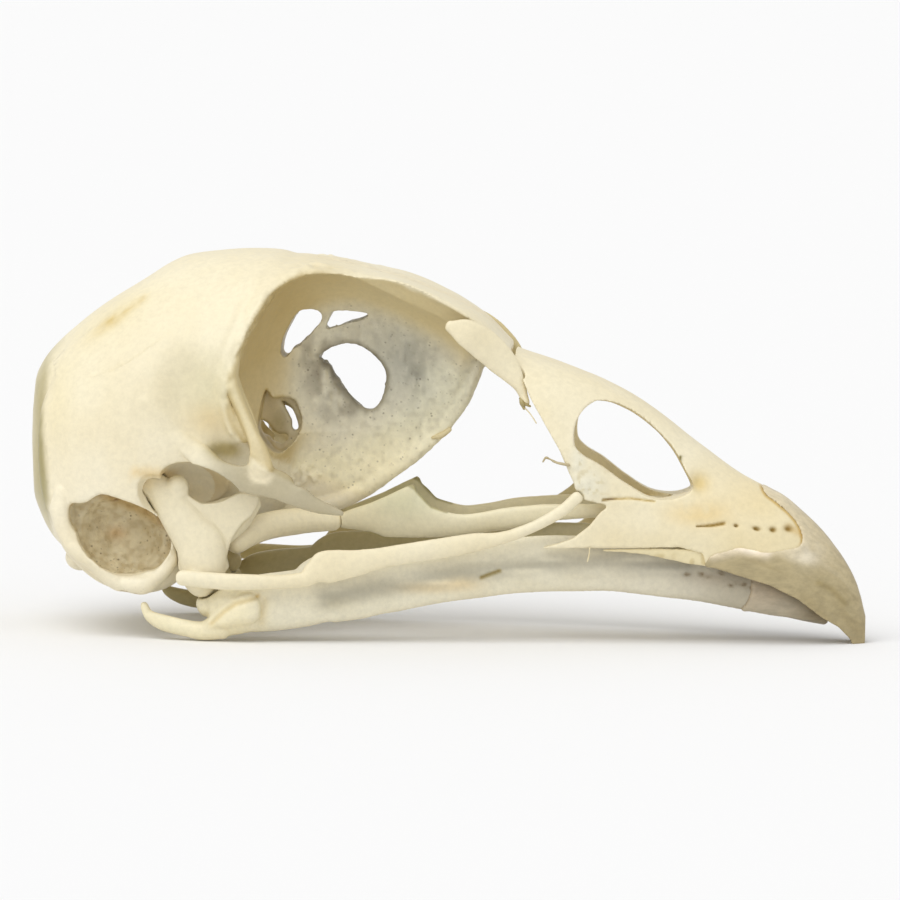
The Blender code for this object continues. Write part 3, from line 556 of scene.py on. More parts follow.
def stroke(points, path, width):
    """1 on a path drawn in the side view, fading with the distance d as exp(-(d / width)^2)."""
    return np.exp(-(away(points, path) / width) ** 2)


def beside_path(points, path):
    """How far each point lies to the left of a path in x and z, and less than 0 to its right.

    The size is the distance to the nearest run, and the sign is that of run x (point - start).
    """
    flat = points[:, (0, 2)]
    best, signed = np.full(len(flat), np.inf), np.zeros(len(flat))
    for start, end in zip(path[:-1], path[1:]):
        run = end - start
        t = np.clip(((flat - start) @ run) / (run @ run), 0.0, 1.0)
        apart = np.linalg.norm(flat - start - t[:, None] * run, axis=1)
        turn = run[0] * (flat[:, 1] - start[1]) - run[1] * (flat[:, 0] - start[0])
        signed = np.where(apart < best, np.sign(turn) * apart, signed)
        best = np.minimum(best, apart)
    return signed


def facing_out(points, normals):
    """1 where the skin faces straight away from the middle plane, -1 where it faces it."""
    return normals[:, 1] * np.sign(points[:, 1])


def facing_in(points, normals):
    """1 where the skin faces the middle plane of the skull, 0 where it faces out."""
    return rise(-facing_out(points, normals), -0.25, 0.5)


# %% Moving the skin
BOX_INSET = ((0.01, 0.01, 0.0), (-0.01, -0.01, -0.01))


def relieved(made, heights):
    """Move each point along its normal by its height, but not out of the frame's box."""
    low, high = np.array(cad_box) / MM + BOX_INSET
    points = points_of(made.data) + normals_of(made.data) * heights[:, None]
    moved(made, np.clip(points, low, high))


def pressed(made, depths):
    """Move each point straight towards the middle plane by its own depth in millimetres."""
    points = points_of(made.data)
    points[:, 1] -= np.sign(points[:, 1]) * depths
    moved(made, points)


def eased(made, share, rounds):
    """Smooth only where the share is above 0, by that share of an average over some rounds."""
    points = points_of(made.data)
    moved(made, points + share[:, None] * (averaged(made.data, points, rounds, 0.7) - points))


def hollows(made, rounds=10):
    """How far each point lies below the mean of its surroundings, in millimetres."""
    points = points_of(made.data)
    return ((averaged(made.data, points, rounds, 0.7) - points) * normals_of(made.data)).sum(axis=1)


# %% [markdown]
# ## Stains kept in the mesh
#
# Stains could be painted by hand or wrapped round the bone as a picture, but both need a flat
# layout of the skin. Here every point keeps a colour of its own instead: it starts white, each
# stain is laid over it like a thin wash of water colour, and the material multiplies the bone by
# the result. A fourth number adds gloss, and a second attribute says how porous the bone is.

# %% Stains
def plain(points):
    """A tint without any stain or gloss: red, green and blue 1, gloss 0, for each point."""
    return np.column_stack([np.ones((len(points), 3)), np.zeros(len(points))])


def washed(tint, amount, colour):
    """Lay a transparent colour over a tint: tint times (1 - amount + amount * colour)."""
    tint[:, :3] *= 1.0 - np.clip(amount, 0.0, 1.0)[:, None] * (1.0 - np.asarray(colour))


def stained(made, tint, porous):
    """Keep a tint (red, green, blue, gloss) and a porousness for each point in the mesh."""
    mesh = made.data
    attribute = mesh.color_attributes.new("tint", "FLOAT_COLOR", "POINT")
    attribute.data.foreach_set("color", np.clip(tint, 0.0, 2.0).ravel())
    attribute = mesh.attributes.new("porous", "FLOAT", "POINT")
    attribute.data.foreach_set("value", np.clip(porous, 0.0, 1.0))
    return made


trial = plain(np.zeros((1, 3)))
washed(trial, np.array([0.5]), (0.8, 0.6, 0.4))
print("half a wash of ochre over white gives", *trial[0, :3])

# %% [markdown]
# ## Bone and horn
#
# Cleaned bone is cream, a little yellower where grease stayed in it, and satin: light sinks in a
# little and the shine is broad. One material serves every bone, so that they belong together,
# and the tint attribute gives each its own stains. Two noises vary the cream over millimetres
# and tenths of millimetres, and a cell pattern gives fine dark pores where the porousness asks
# for them. Horn is greyer, shinier and streaked lengthwise, which a noise stretched along the
# bill gives. Everything reads the Object coordinates, so the grain sits in the bone and does not
# follow the camera.

# %% Node helpers
def nodes_of(material):
    """A fresh node tree with its shader, and a maker of nodes with their settings and inputs."""
    material.use_nodes = True
    tree = material.node_tree
    shader = tree.nodes["Principled BSDF"]

    def node(kind, inputs=(), **settings):
        made = tree.nodes.new(kind)
        for name, value in settings.items():
            setattr(made, name, value)
        for name, value in dict(inputs).items():
            if isinstance(value, bpy.types.NodeSocket):
                tree.links.new(value, made.inputs[name])
            else:
                made.inputs[name].default_value = value
        return made

    return tree, shader, node


def mix_of(node, factor, a, b, blend="MIX"):
    """A colour mix; a and b are colours or sockets."""
    return node("ShaderNodeMix", {0: factor, 6: a, 7: b}, data_type="RGBA", blend_type=blend).outputs[2]


def math_of(node, operation, *values, clamp=False):
    """A sum, product or the like of numbers or sockets."""
    return node("ShaderNodeMath", dict(enumerate(values)), operation=operation, use_clamp=clamp).outputs[0]


def span_of(node, value, low, high, first=0.0, last=1.0):
    """A value that runs from low to high, carried over to the run from first to last."""
    return node("ShaderNodeMapRange", {0: value, 1: low, 2: high, 3: first, 4: last}).outputs[0]


# %% The material
def skeletal(name, light, dark, streak=(1.0, 1.0, 1.0), contrast=1.0, roughness=0.42, relief=1.0):
    """Bone or horn: two shades of it, how far its grain is stretched, and how rough it is."""
    material = bpy.data.materials.new(name)
    tree, shader, node = nodes_of(material)
    place = node("ShaderNodeTexCoord").outputs["Object"]
    stretched = node("ShaderNodeMapping", {"Vector": place, "Scale": streak}).outputs["Vector"]
    broad = node("ShaderNodeTexNoise", {"Vector": stretched, "Scale": 130.0, "Detail": 3.0}).outputs[0]
    fine = node("ShaderNodeTexNoise", {"Vector": stretched, "Scale": 2100.0, "Detail": 5.0,
                                       "Roughness": 0.65}).outputs[0]
    cells = node("ShaderNodeTexVoronoi", {"Vector": place, "Scale": 2600.0}).outputs["Distance"]
    tint = node("ShaderNodeAttribute", attribute_name="tint")
    porous = node("ShaderNodeAttribute", attribute_name="porous").outputs["Fac"]

    colour = mix_of(node, span_of(node, broad, 0.34, 0.66), (*light, 1.0), (*dark, 1.0))
    speck = span_of(node, fine, 0.30, 0.62, 1.0 - 0.07 * contrast, 1.0 + 0.02 * contrast)
    grey = node("ShaderNodeCombineColor", {0: speck, 1: speck, 2: speck}).outputs[0]
    colour = mix_of(node, 1.0, colour, grey, "MULTIPLY")
    # Painted shade: the pores are darkened towards dark brown, as shade inside tiny pits.
    pit = span_of(node, cells, 0.10, 0.34, 1.0, 0.0)
    pit = math_of(node, "MULTIPLY", pit, span_of(node, fine, 0.5, 0.62))
    pit = math_of(node, "MULTIPLY", pit, porous)
    colour = mix_of(node, pit, colour, (0.30, 0.25, 0.17, 1.0))
    colour = mix_of(node, 1.0, colour, tint.outputs["Color"], "MULTIPLY")
    tree.links.new(colour, shader.inputs["Base Color"])

    rough = span_of(node, fine, 0.3, 0.7, roughness - 0.07, roughness + 0.13)
    gloss = math_of(node, "MULTIPLY", tint.outputs["Alpha"], 0.5)
    rough = math_of(node, "SUBTRACT", rough, gloss, clamp=True)
    rough = math_of(node, "MAXIMUM", rough, 0.07)
    tree.links.new(rough, shader.inputs["Roughness"])

    height = math_of(node, "MULTIPLY", fine, math_of(node, "MULTIPLY_ADD", porous, 1.6, 0.5))
    height = math_of(node, "ADD", height, math_of(node, "MULTIPLY", broad, 0.7))
    height = math_of(node, "SUBTRACT", height, math_of(node, "MULTIPLY", pit, 1.5))
    bump = node("ShaderNodeBump", {"Height": height, "Strength": 0.5 * relief, "Distance": 0.00006})
    tree.links.new(bump.outputs["Normal"], shader.inputs["Normal"])
    shader.inputs["Specular IOR Level"].default_value = 0.42
    return material


bone = skeletal("bone", (0.850, 0.775, 0.565), (0.825, 0.735, 0.505))
pale_bone = skeletal("pale_bone", (0.84, 0.79, 0.615), (0.81, 0.75, 0.56), contrast=1.3)
horn = skeletal("horn", (0.58, 0.52, 0.375), (0.50, 0.44, 0.30), streak=(0.30, 1.0, 1.0), contrast=2.6,
                roughness=0.36, relief=0.7)
print("made", *(material.name for material in (bone, pale_bone, horn)))


# %% Finishing a piece
def finished(made, material, slot, *nodes):
    """Give a piece its material and smooth shading, let it ride, and let it stand for its nodes."""
    made.data.materials.clear()
    made.data.materials.append(material)
    made.data.shade_smooth()
    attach(made, BODY)
    if nodes:
        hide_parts(*nodes)
    low, high = points_of(made.data).min(axis=0), points_of(made.data).max(axis=0)
    print(made.name, len(made.data.vertices), "points, from", low.round(1), "to", high.round(1))


# %% [markdown]
# ## The cranium: its outline
#
# Braincase, forehead and the wall between the eyes are one bone. Its side outline is drawn first,
# as the height of the roof, of the widest level and of the floor at places along the head, with
# the half width at the widest level. Sections between them are superellipses, rounder above and
# boxier below the ears. A sculpted sphere would need dozens of strokes to meet the same outline.

# %% Cranium outline
BACK, HINGE, TIP = -34.9, 5.0, 34.9
ROOF = ((-34.9, 18.2), (-34.5, 21.2), (-32.4, 24.0), (-26.5, 28.6), (-21.7, 31.25), (-16.5, 31.75),
        (-10.0, 31.0), (-4.2, 29.8), (0.0, 28.2), (2.7, 26.7), (5.0, 24.4))
BASE = ((-34.9, 14.5), (-34.5, 10.6), (-32.0, 6.8), (-28.0, 5.3), (-23.5, 5.6), (-18.5, 8.2),
        (-11.9, 10.0), (-7.8, 10.7), (-3.0, 14.9), (0.5, 17.7), (1.9, 20.4), (2.8, 22.4), (5.0, 22.9))
WIDEST = ((-34.9, 16.0), (-29.5, 15.6), (-23.5, 16.4), (-20.0, 17.4), (-17.2, 21.5), (-13.7, 28.3),
          (-10.0, 30.0), (-5.1, 29.8), (0.0, 27.8), (5.0, 23.9))
HALF_WIDTH = ((-34.9, 1.2), (-34.5, 4.9), (-32.8, 8.4), (-29.5, 10.7), (-25.0, 11.8), (-19.0, 12.0),
              (-16.2, 11.0), (-13.7, 8.6), (-10.0, 6.4), (-5.1, 5.1), (0.0, 5.4), (2.5, 5.2), (5.0, 4.5))
UPPER_POWER = ((-34.9, 2.1), (-20.0, 2.2), (5.0, 2.3))
LOWER_POWER = ((-34.9, 2.3), (-32.0, 3.2), (-27.0, 3.4), (-23.5, 2.4), (-21.0, 1.7), (-17.0, 1.7),
               (-14.5, 1.2), (-11.9, 0.85), (-7.0, 0.75), (5.0, 0.8))

places = BACK + (HINGE - BACK) * np.linspace(0.0, 1.0, 100) ** 1.5
cranium = loft("cranium_bone", places, *(line(keys, places) for keys in
               (ROOF, WIDEST, BASE, HALF_WIDTH, UPPER_POWER, LOWER_POWER)))
print("the braincase is", round(2 * max(width for _, width in HALF_WIDTH), 1), "mm wide")

# %% [markdown]
# ## Eye sockets and the pit at the temple
#
# A bird's eye sockets nearly meet, so two large superellipsoids are taken out of the head from
# both sides and leave a thin wall. Their long axis falls towards the bill, as the rim does. In
# front of the ear, a pit runs in under the strut that crosses the cheek.

# %% Eye sockets
ORBIT_PLACE, ORBIT_RADII = (-6.2, 12.4, 20.6), (11.4, 11.9, 9.0)
ORBIT_FALL, ORBIT_POWER = math.radians(22.0), 3.0
VAULT_PLACE, VAULT_RADII = (-8.6, 5.6, 24.6), (5.2, 5.0, 2.6)
TEMPLE_FALL = math.radians(-23.0)
TEMPLE_PIT, PIT_RADII, PIT_FALL = (-17.6, 11.2, 15.75), (1.25, 2.2, 0.5), math.radians(12.0)

hollows_cut = []
for side, _ in SIDES:
    hollows_cut += [blob("orbit", ORBIT_PLACE, ORBIT_RADII, side, ORBIT_POWER, ORBIT_FALL, around=96),
                    blob("vault", VAULT_PLACE, VAULT_RADII, side)]
combined(cranium, hollows_cut, "DIFFERENCE")
print("sockets", 2 * ORBIT_RADII[0], "mm long")

# %% [markdown]
# ## Struts and knobs of the cranium
#
# Two struts stand off the side of the head: the brow spur behind the eye, and the blade that
# runs forward over the jaw joint and ends in a thin point. A beam below carries the wall between
# the eyes. The ear opens into a bowl with a wavy lip. Each is a bar along a smooth path, whose
# half thickness and half height change from station to station.

# %% Struts, beam and ear
BROW_SPUR = ((-18.2, 10.4, 24.6, 0.7, 0.9), (-17.7, 10.8, 22.9, 0.8, 0.75), (-17.5, 11.1, 21.6, 0.85, 0.55),
             (-17.1, 11.3, 20.4, 0.85, 0.5), (-16.5, 11.6, 19.1, 0.8, 0.5), (-15.9, 11.9, 17.8, 0.75, 0.55),
             (-15.4, 12.1, 16.6, 0.75, 0.75), (-15.1, 12.15, 15.4, 0.7, 0.95),
             (-14.95, 12.2, 14.7, 0.6, 1.05), (-14.9, 12.2, 14.2, 0.45, 0.8))
TEMPLE_WALL = ((-18.9, 9.9, 23.6, 0.8, 1.0), (-18.2, 10.1, 21.2, 0.8, 1.4), (-17.4, 10.4, 19.2, 0.8, 1.6),
               (-16.8, 10.7, 17.6, 0.75, 1.7), (-16.5, 10.8, 16.8, 0.6, 1.5))
CHEEK_BLADE = ((-24.2, 10.6, 18.6, 0.6, 0.4), (-22.2, 11.4, 17.2, 0.6, 0.7), (-20.4, 12.0, 15.7, 0.5, 0.8),
               (-18.8, 12.2, 14.75, 0.4, 0.95), (-16.3, 12.1, 13.7, 0.36, 1.2),
               (-13.8, 12.05, 13.3, 0.36, 1.3), (-12.4, 12.0, 12.5, 0.38, 0.92),
               (-10.5, 11.5, 11.6, 0.33, 0.6), (-8.3, 10.9, 10.9, 0.2, 0.2))
ROSTRUM = ((-13.0, 0.0, 9.6, 1.2, 1.0), (-8.7, 0.0, 11.0, 0.6, 0.7), (-5.1, 0.0, 13.4, 0.5, 0.75),
           (-1.2, 0.0, 16.6, 0.55, 0.7), (0.9, 0.0, 19.3, 0.7, 0.65), (1.9, 0.0, 21.6, 1.0, 0.65),
           (2.3, 0.0, 23.0, 1.1, 0.6))
THROAT_KNOB, THROAT_RADII = (-13.6, 3.4, 10.2), (1.6, 1.4, 1.2)
NECK_KNOB, NECK_RADII = (-30.7, 0.0, 5.6), (1.3, 1.3, 1.1)
EAR_SWELLING, EAR_SWELLING_RADII, EAR_FALL = (-26.5, 7.4, 8.7), (6.2, 3.5, 4.8), math.radians(30.0)
EAR_LIP = ((-31.5, 9.0, 12.0, 0.7, 0.7), (-31.6, 9.2, 9.9, 0.8, 0.75), (-31.0, 9.4, 8.2, 0.8, 0.7),
           (-29.9, 9.7, 7.0, 0.9, 0.75), (-28.7, 9.8, 6.2, 0.9, 0.75), (-27.6, 9.7, 5.1, 0.8, 0.7),
           (-26.5, 9.6, 4.5, 0.8, 0.65), (-24.9, 9.8, 4.5, 1.1, 0.85), (-23.5, 9.5, 5.2, 0.8, 0.7),
           (-22.5, 9.3, 6.4, 0.6, 0.6), (-22.1, 9.0, 7.8, 0.5, 0.55))

grown = [limb("rostrum", ROSTRUM), blob("neck_knob", NECK_KNOB, NECK_RADII)]
for side, _ in SIDES:
    grown += [limb("brow_spur", BROW_SPUR, side), limb("cheek_blade", CHEEK_BLADE, side),
              limb("temple_wall", TEMPLE_WALL, side),
              limb("ear_lip", EAR_LIP, side), blob("throat_knob", THROAT_KNOB, THROAT_RADII, side),
              blob("ear_swelling", EAR_SWELLING, EAR_SWELLING_RADII, side, fall=EAR_FALL)]
combined(cranium, grown, "UNION")
print("joined", len(grown), "struts and knobs")

# %% [markdown]
# ## The small bones, known before they are made
#
# The neighbours' seats are cut out of the cranium with grown copies of the same bars, so that a
# clean gap stays all round. Their stations stand here, because the cranium needs them first.

# %% Stations of the small bones
QUADRATE_BODY = ((-24.2, 9.5, 13.0, 0.85, 1.1), (-22.8, 9.8, 11.6, 0.9, 1.4), (-21.2, 10.1, 9.5, 0.9, 1.7),
                 (-19.9, 10.3, 7.6, 1.0, 2.05), (-19.6, 10.4, 5.6, 1.25, 1.8))
QUADRATE_HORN = ((-20.6, 10.1, 8.8, 0.8, 2.2), (-18.9, 9.6, 9.5, 0.75, 1.95), (-17.1, 9.0, 10.5, 0.6, 1.6),
                 (-15.7, 8.5, 11.4, 0.5, 0.75))
QUADRATE_SIDE = ((-25.5, 12.7), (-25.1, 13.4), (-24.2, 13.5), (-23.5, 13.0), (-23.0, 13.1), (-21.5, 13.1),
                 (-21.05, 12.7), (-21.1, 12.1), (-20.1, 11.45), (-19.4, 11.4), (-18.3, 11.6),
                 (-17.25, 12.1), (-16.6, 12.3), (-15.4, 12.1), (-15.25, 11.7), (-15.7, 10.6),
                 (-16.6, 9.7), (-17.4, 8.4), (-17.8, 7.0), (-17.9, 5.8), (-21.4, 5.6), (-21.8, 7.0),
                 (-21.95, 7.9), (-22.3, 8.9), (-23.4, 10.25), (-24.55, 12.1))
QUADRATE_OUT, QUADRATE_PLATE = 9.7, 0.6
QUADRATE_FOOT = ((-20.6, 11.6, 5.3, 0.9, 0.65), (-19.9, 10.2, 4.9, 1.2, 1.3), (-18.8, 8.0, 4.8, 1.0, 1.0))
QUADRATE_HEADS = ((-24.5, 9.4, 12.95), (-22.0, 9.8, 12.7))
QUADRATE_SADDLE = ((-24.4, 9.5, 12.5, 0.8, 0.85), (-21.8, 9.9, 12.2, 0.8, 0.9))
HEAD_RADIUS = 0.95
LACRIMAL = ((0.1, 6.3, 26.2, 0.35, 0.5), (1.4, 6.2, 25.7, 0.35, 1.15), (2.9, 5.6, 24.7, 0.35, 1.35),
            (4.3, 5.1, 23.4, 0.35, 1.25), (5.3, 4.9, 22.2, 0.35, 0.9), (6.0, 4.9, 21.1, 0.35, 0.5),
            (6.5, 5.0, 19.9, 0.3, 0.3))
LACRIMAL_LEAN = 0.3
JUGAL = ((-21.3, 12.3, 5.4, 0.55, 0.65), (-17.1, 12.3, 5.15, 0.45, 0.7), (-13.3, 11.8, 5.2, 0.45, 0.6),
         (-11.3, 11.5, 5.4, 0.43, 0.65), (-10.4, 11.35, 6.0, 0.42, 1.0), (-9.6, 11.2, 6.4, 0.42, 1.4),
         (-7.0, 10.75, 6.8, 0.4, 1.1), (-4.5, 10.2, 7.3, 0.4, 0.85),
         (0.5, 9.0, 8.1, 0.4, 0.87), (2.5, 8.5, 8.45, 0.4, 0.8), (4.6, 8.0, 8.8, 0.4, 0.55),
         (7.2, 7.5, 9.7, 0.4, 0.45), (9.8, 7.2, 11.2, 0.4, 0.5), (11.0, 7.05, 12.3, 0.4, 0.5))
PTERYGOID = ((-17.2, 7.8, 8.0, 0.9, 1.0), (-15.8, 6.8, 8.9, 0.9, 1.15), (-13.5, 5.1, 9.4, 0.9, 1.15),
             (-11.3, 3.5, 9.5, 0.9, 1.05), (-9.6, 2.5, 9.4, 0.9, 0.85))
SEAT = 0.15
print("the cheek bar is", round(JUGAL[-1][0] - JUGAL[0][0], 1), "mm long")


# %% Quadrate and lacrimal as pieces
def wider(outline, grow):
    """An outline drawn clockwise in x and z, with each point moved outwards by a length."""
    outline = np.asarray(outline, dtype=float)
    ahead = np.roll(outline, -1, axis=0) - np.roll(outline, 1, axis=0)
    ahead /= np.linalg.norm(ahead, axis=1)[:, None]
    return outline + np.stack([-ahead[:, 1], ahead[:, 0]], axis=-1) * grow


def quadrate_parts(side, grow=0.0):
    """The quadrate's plate, body, inner horn, foot on the jaw and two heads, each a closed piece."""
    plate = round_outline(wider(QUADRATE_SIDE, grow))
    parts = [prism("quadrate_plate", plate, QUADRATE_PLATE + grow, side * QUADRATE_OUT),
             limb("quadrate_body", QUADRATE_BODY, side, grow),
             limb("quadrate_horn", QUADRATE_HORN, side, grow),
             limb("quadrate_saddle", QUADRATE_SADDLE, side, grow),
             limb("quadrate_foot", QUADRATE_FOOT, side, grow, across=(1.0, 0.0, 0.0))]
    radii = (HEAD_RADIUS + grow,) * 3
    return parts + [blob("quadrate_head", place, radii, side, around=24) for place in QUADRATE_HEADS]


def lacrimal(name, side, grow=0.0):
    """The leaf-shaped plate on the front rim of the eye socket, leaning in towards its top."""
    return limb(name, LACRIMAL, side, grow, across=(0.0, side, LACRIMAL_LEAN))


seat_length, own_length = (np.ptp(wider(QUADRATE_SIDE, grow)[:, 0]) for grow in (SEAT, 0.0))
print("the quadrate's seat is", round(seat_length - own_length, 2), "mm longer than the quadrate")

# %% [markdown]
# ## Holes in the wall between the eyes
#
# Three windows and the nerve's opening go through the wall. Their outlines are smooth curves
# through a few points, with small random steps in and out, because thin bone breaks raggedly.
# The nerve's opening is a pocket from each side, and the dark sheet between the two pockets has
# two ragged gaps that let light through.

# %% Holes
WALL_HOLE = ((-11.0, 23.05), (-10.04, 23.7), (-8.77, 24.09), (-7.8, 23.98), (-6.53, 23.28), (-5.75, 22.42),
             (-5.33, 21.47), (-5.39, 20.5), (-5.75, 19.39), (-6.2, 18.75), (-6.93, 18.53), (-7.65, 18.88),
             (-8.6, 19.82), (-9.1, 20.45), (-9.35, 20.9), (-9.75, 21.35), (-10.0, 22.0), (-10.6, 22.45))
REAR_WINDOW = ((-14.1, 23.23), (-13.95, 24.35), (-13.39, 25.63), (-12.83, 26.6), (-12.27, 26.93),
               (-11.3, 26.9), (-10.84, 26.5), (-11.0, 25.84), (-11.8, 24.86), (-12.75, 23.89),
               (-13.15, 23.65), (-13.7, 23.0))
FRONT_WINDOW = ((-9.73, 26.85), (-8.45, 26.8), (-7.17, 26.73), (-6.8, 26.6), (-7.5, 26.2), (-8.77, 25.84),
                (-9.88, 25.46), (-10.57, 25.2), (-10.28, 25.85), (-10.04, 26.5))
NERVE_POCKET = ((-15.4, 20.2), (-14.8, 19.4), (-14.0, 19.5), (-13.1, 19.2), (-12.65, 18.3), (-12.4, 17.3),
                (-12.75, 16.2), (-13.5, 15.3), (-14.3, 14.9), (-15.1, 15.6), (-15.9, 16.9), (-15.8, 18.8))
GAP_ABOVE = ((-14.2, 19.3), (-13.4, 18.9), (-12.75, 17.8), (-12.7, 16.8), (-13.1, 16.7), (-13.35, 17.7),
             (-13.9, 18.6))
GAP_BELOW = ((-15.9, 17.5), (-15.2, 17.2), (-14.4, 16.4), (-13.6, 16.35), (-13.6, 15.7), (-14.5, 15.7),
             (-15.3, 16.2), (-15.95, 16.7))
HOLE_REACH, GAP_REACH, POCKET_MIDDLE, POCKET_REACH = 3.4, 1.0, 2.9, 2.5
POCKET_SHIFT = {RIGHT: (0.1, 0.15), LEFT: (-0.25, -0.75)}


def torn(outline, size, seed, samples=5):
    """A round outline with small steps in and out, as broken thin bone has."""
    curve = round_outline(outline, samples)
    return curve + np.random.default_rng(seed).normal(0.0, size, curve.shape)


openings = [prism("hole", torn(WALL_HOLE, 0.035, 1), HOLE_REACH),
            prism("hole", torn(REAR_WINDOW, 0.02, 2), HOLE_REACH),
            prism("hole", torn(FRONT_WINDOW, 0.02, 3), HOLE_REACH),
            prism("gap", torn(GAP_ABOVE, 0.03, 4), GAP_REACH),
            prism("gap", torn(GAP_BELOW, 0.05, 5), GAP_REACH)]
for side, _ in SIDES:
    pocket = round_outline(NERVE_POCKET) + POCKET_SHIFT[side]
    openings.append(prism("pocket", pocket, POCKET_REACH, side * POCKET_MIDDLE))
print(len(openings), "openings through the wall")

# %% [markdown]
# ## Hollows of the cranium
#
# The hollow of the brain follows the roof a millimetre and a half below it, and opens behind
# through the hole for the spinal cord. The ear bowl and the recess for the quadrate are scooped
# out of the side. Then the seats are cut and the whole is melted into one skin.

# %% Hollows and melting
BRAIN_ROOF = 1.5
BRAIN_FLOOR = ((-33.4, 14.0), (-31.0, 11.2), (-27.0, 10.6), (-20.0, 11.4), (-17.5, 13.5), (-16.2, 17.0))
BRAIN_WIDEST = ((-33.4, 17.0), (-25.0, 17.5), (-18.0, 20.0), (-16.2, 21.0))
BRAIN_HALF = ((-33.4, 2.0), (-32.4, 6.2), (-30.0, 8.6), (-26.0, 9.7), (-22.0, 9.2), (-19.4, 7.6),
              (-18.2, 5.4), (-17.0, 3.0), (-16.2, 1.5))
CORD_HOLE = ((-29.5, 0.0, 12.0, 1.95, 1.95), (-32.5, 0.0, 8.5, 1.95, 1.95), (-36.0, 0.0, 4.4, 1.95, 1.95))
EAR_BOWL, EAR_BOWL_RADII = (-26.7, 9.4, 8.5), (3.9, 2.9, 3.2)
EAR_MOUTH = ((-30.9, 11.1), (-29.6, 11.3), (-28.2, 12.1), (-26.3, 11.65), (-24.9, 11.1), (-23.6, 10.2),
             (-22.7, 8.9), (-22.5, 7.5), (-23.0, 6.5), (-23.8, 5.7), (-25.1, 5.6), (-26.2, 5.2),
             (-27.0, 5.5), (-27.9, 6.6), (-29.0, 7.4), (-30.2, 8.4), (-31.0, 9.6))
MOUTH_FLOOR, MOUTH_REACH = 8.2, 2.6
RECESS, RECESS_RADII, RECESS_FALL = (-19.9, 11.2, 12.7), (3.7, 3.8, 2.0), math.radians(20.0)
HEAD_NOTCH, NOTCH_RADII, NOTCH_FALL = (-23.4, 12.4, 11.9), (1.6, 2.9, 2.3), math.radians(-35.0)
CRANIUM_VOXEL = 0.15

inside = np.linspace(BRAIN_HALF[0][0], BRAIN_HALF[-1][0], 48)
round_section = np.full_like(inside, 2.2)
brain = loft("brain", inside, line(ROOF, inside) - BRAIN_ROOF, line(BRAIN_WIDEST, inside),
             line(BRAIN_FLOOR, inside), line(BRAIN_HALF, inside), round_section, round_section)
cuts = [brain, limb("cord_hole", CORD_HOLE)]
for side, _ in SIDES:
    mouth_middle = side * (MOUTH_FLOOR + MOUTH_REACH)
    cuts += [blob("ear_bowl", EAR_BOWL, EAR_BOWL_RADII, side, fall=EAR_FALL),
             prism("ear_mouth", round_outline(EAR_MOUTH, 3), MOUTH_REACH, mouth_middle),
             blob("recess", RECESS, RECESS_RADII, side, fall=RECESS_FALL),
             blob("head_notch", HEAD_NOTCH, NOTCH_RADII, side, fall=NOTCH_FALL),
             blob("temple_pit", TEMPLE_PIT, PIT_RADII, side, fall=PIT_FALL),
             lacrimal("lacrimal_seat", side, SEAT), limb("pterygoid_seat", PTERYGOID, side, SEAT)]
    cuts += quadrate_parts(side, SEAT)
combined(cranium, cuts, "DIFFERENCE")
combined(cranium, openings, "DIFFERENCE")
melted(cranium, CRANIUM_VOXEL, rounds=3)
print("the melted cranium has", len(cranium.data.vertices), "points")

# %% [markdown]
# ## Relief of the cranium
#
# The braincase is not a smooth egg. A crest runs down each side of the back, where the neck
# muscles held on, and the bone behind it is hollowed before it bulges out again in the middle.
# The jaw muscle left a broad shallow field behind the eye, which ends at the strut. The bone is
# thin there, so the field is pressed straight in towards the middle plane: both of its faces move
# alike and keep their distance. The other humps and dips move the skin along its normal.

# %% Relief of the cranium
TEMPLE_FIELD, TEMPLE_RADII = (-19.9, 11.5, 19.2), (3.3, 6.0, 5.4)
FIELD_DEPTH = 0.8
NECK_GROOVE = (-33.6, 4.9, 16.2), (2.2, 1.5, 6.6)
BLADE_CREST = ((-24.6, 19.8), (-23.2, 18.75), (-22.0, 17.8), (-21.35, 17.1), (-20.1, 16.2), (-18.8, 15.7))
BACK_CREST = ((-32.4, 24.0), (-33.3, 22.8), (-33.8, 20.3), (-33.6, 15.6), (-33.2, 12.6), (-32.6, 10.6))
BRAIN_SWELL, BRAIN_SWELL_RADII = (-27.0, 11.0, 20.0), (5.5, 5.0, 5.5)
BEAM_FOOT = ((-12.0, 12.4), (-8.0, 13.3), (-4.5, 15.4), (-1.5, 18.0), (-0.5, 20.5))
STRUT_HOLLOW = (-18.1, 10.9, 19.2), (2.4, 3.0, 4.4)
SPUR_LINE = [(place[0], place[2]) for place in BROW_SPUR]


def rim_distance(points):
    """How far a place lies outside the eye socket's outline in the side view: 1 on the outline.

    It is the superellipse's own measure: (|x / a|^p + |z / b|^p)^(1 / p) in the turned frame.
    """
    dx, dz = points[:, 0] - ORBIT_PLACE[0], points[:, 2] - ORBIT_PLACE[2]
    cos, sin = math.cos(ORBIT_FALL), math.sin(ORBIT_FALL)
    along, up = (dx * cos - dz * sin) / ORBIT_RADII[0], (dx * sin + dz * cos) / ORBIT_RADII[2]
    return (np.abs(along) ** ORBIT_POWER + np.abs(up) ** ORBIT_POWER) ** (1.0 / ORBIT_POWER)


def outer_skin(points):
    """1 on the outside of the head and 0 in the hollow of the brain, by its own outline."""
    x, y, z = points.T
    half, low, high = line(BRAIN_HALF, x), line(BRAIN_FLOOR, x), line(ROOF, x) - BRAIN_ROOF
    within = (np.abs(y) < half + 0.4) & (z > low - 0.4) & (z < high + 0.4) & (x > -33.8) & (x < -15.9)
    return np.where(within, 0.0, 1.0)


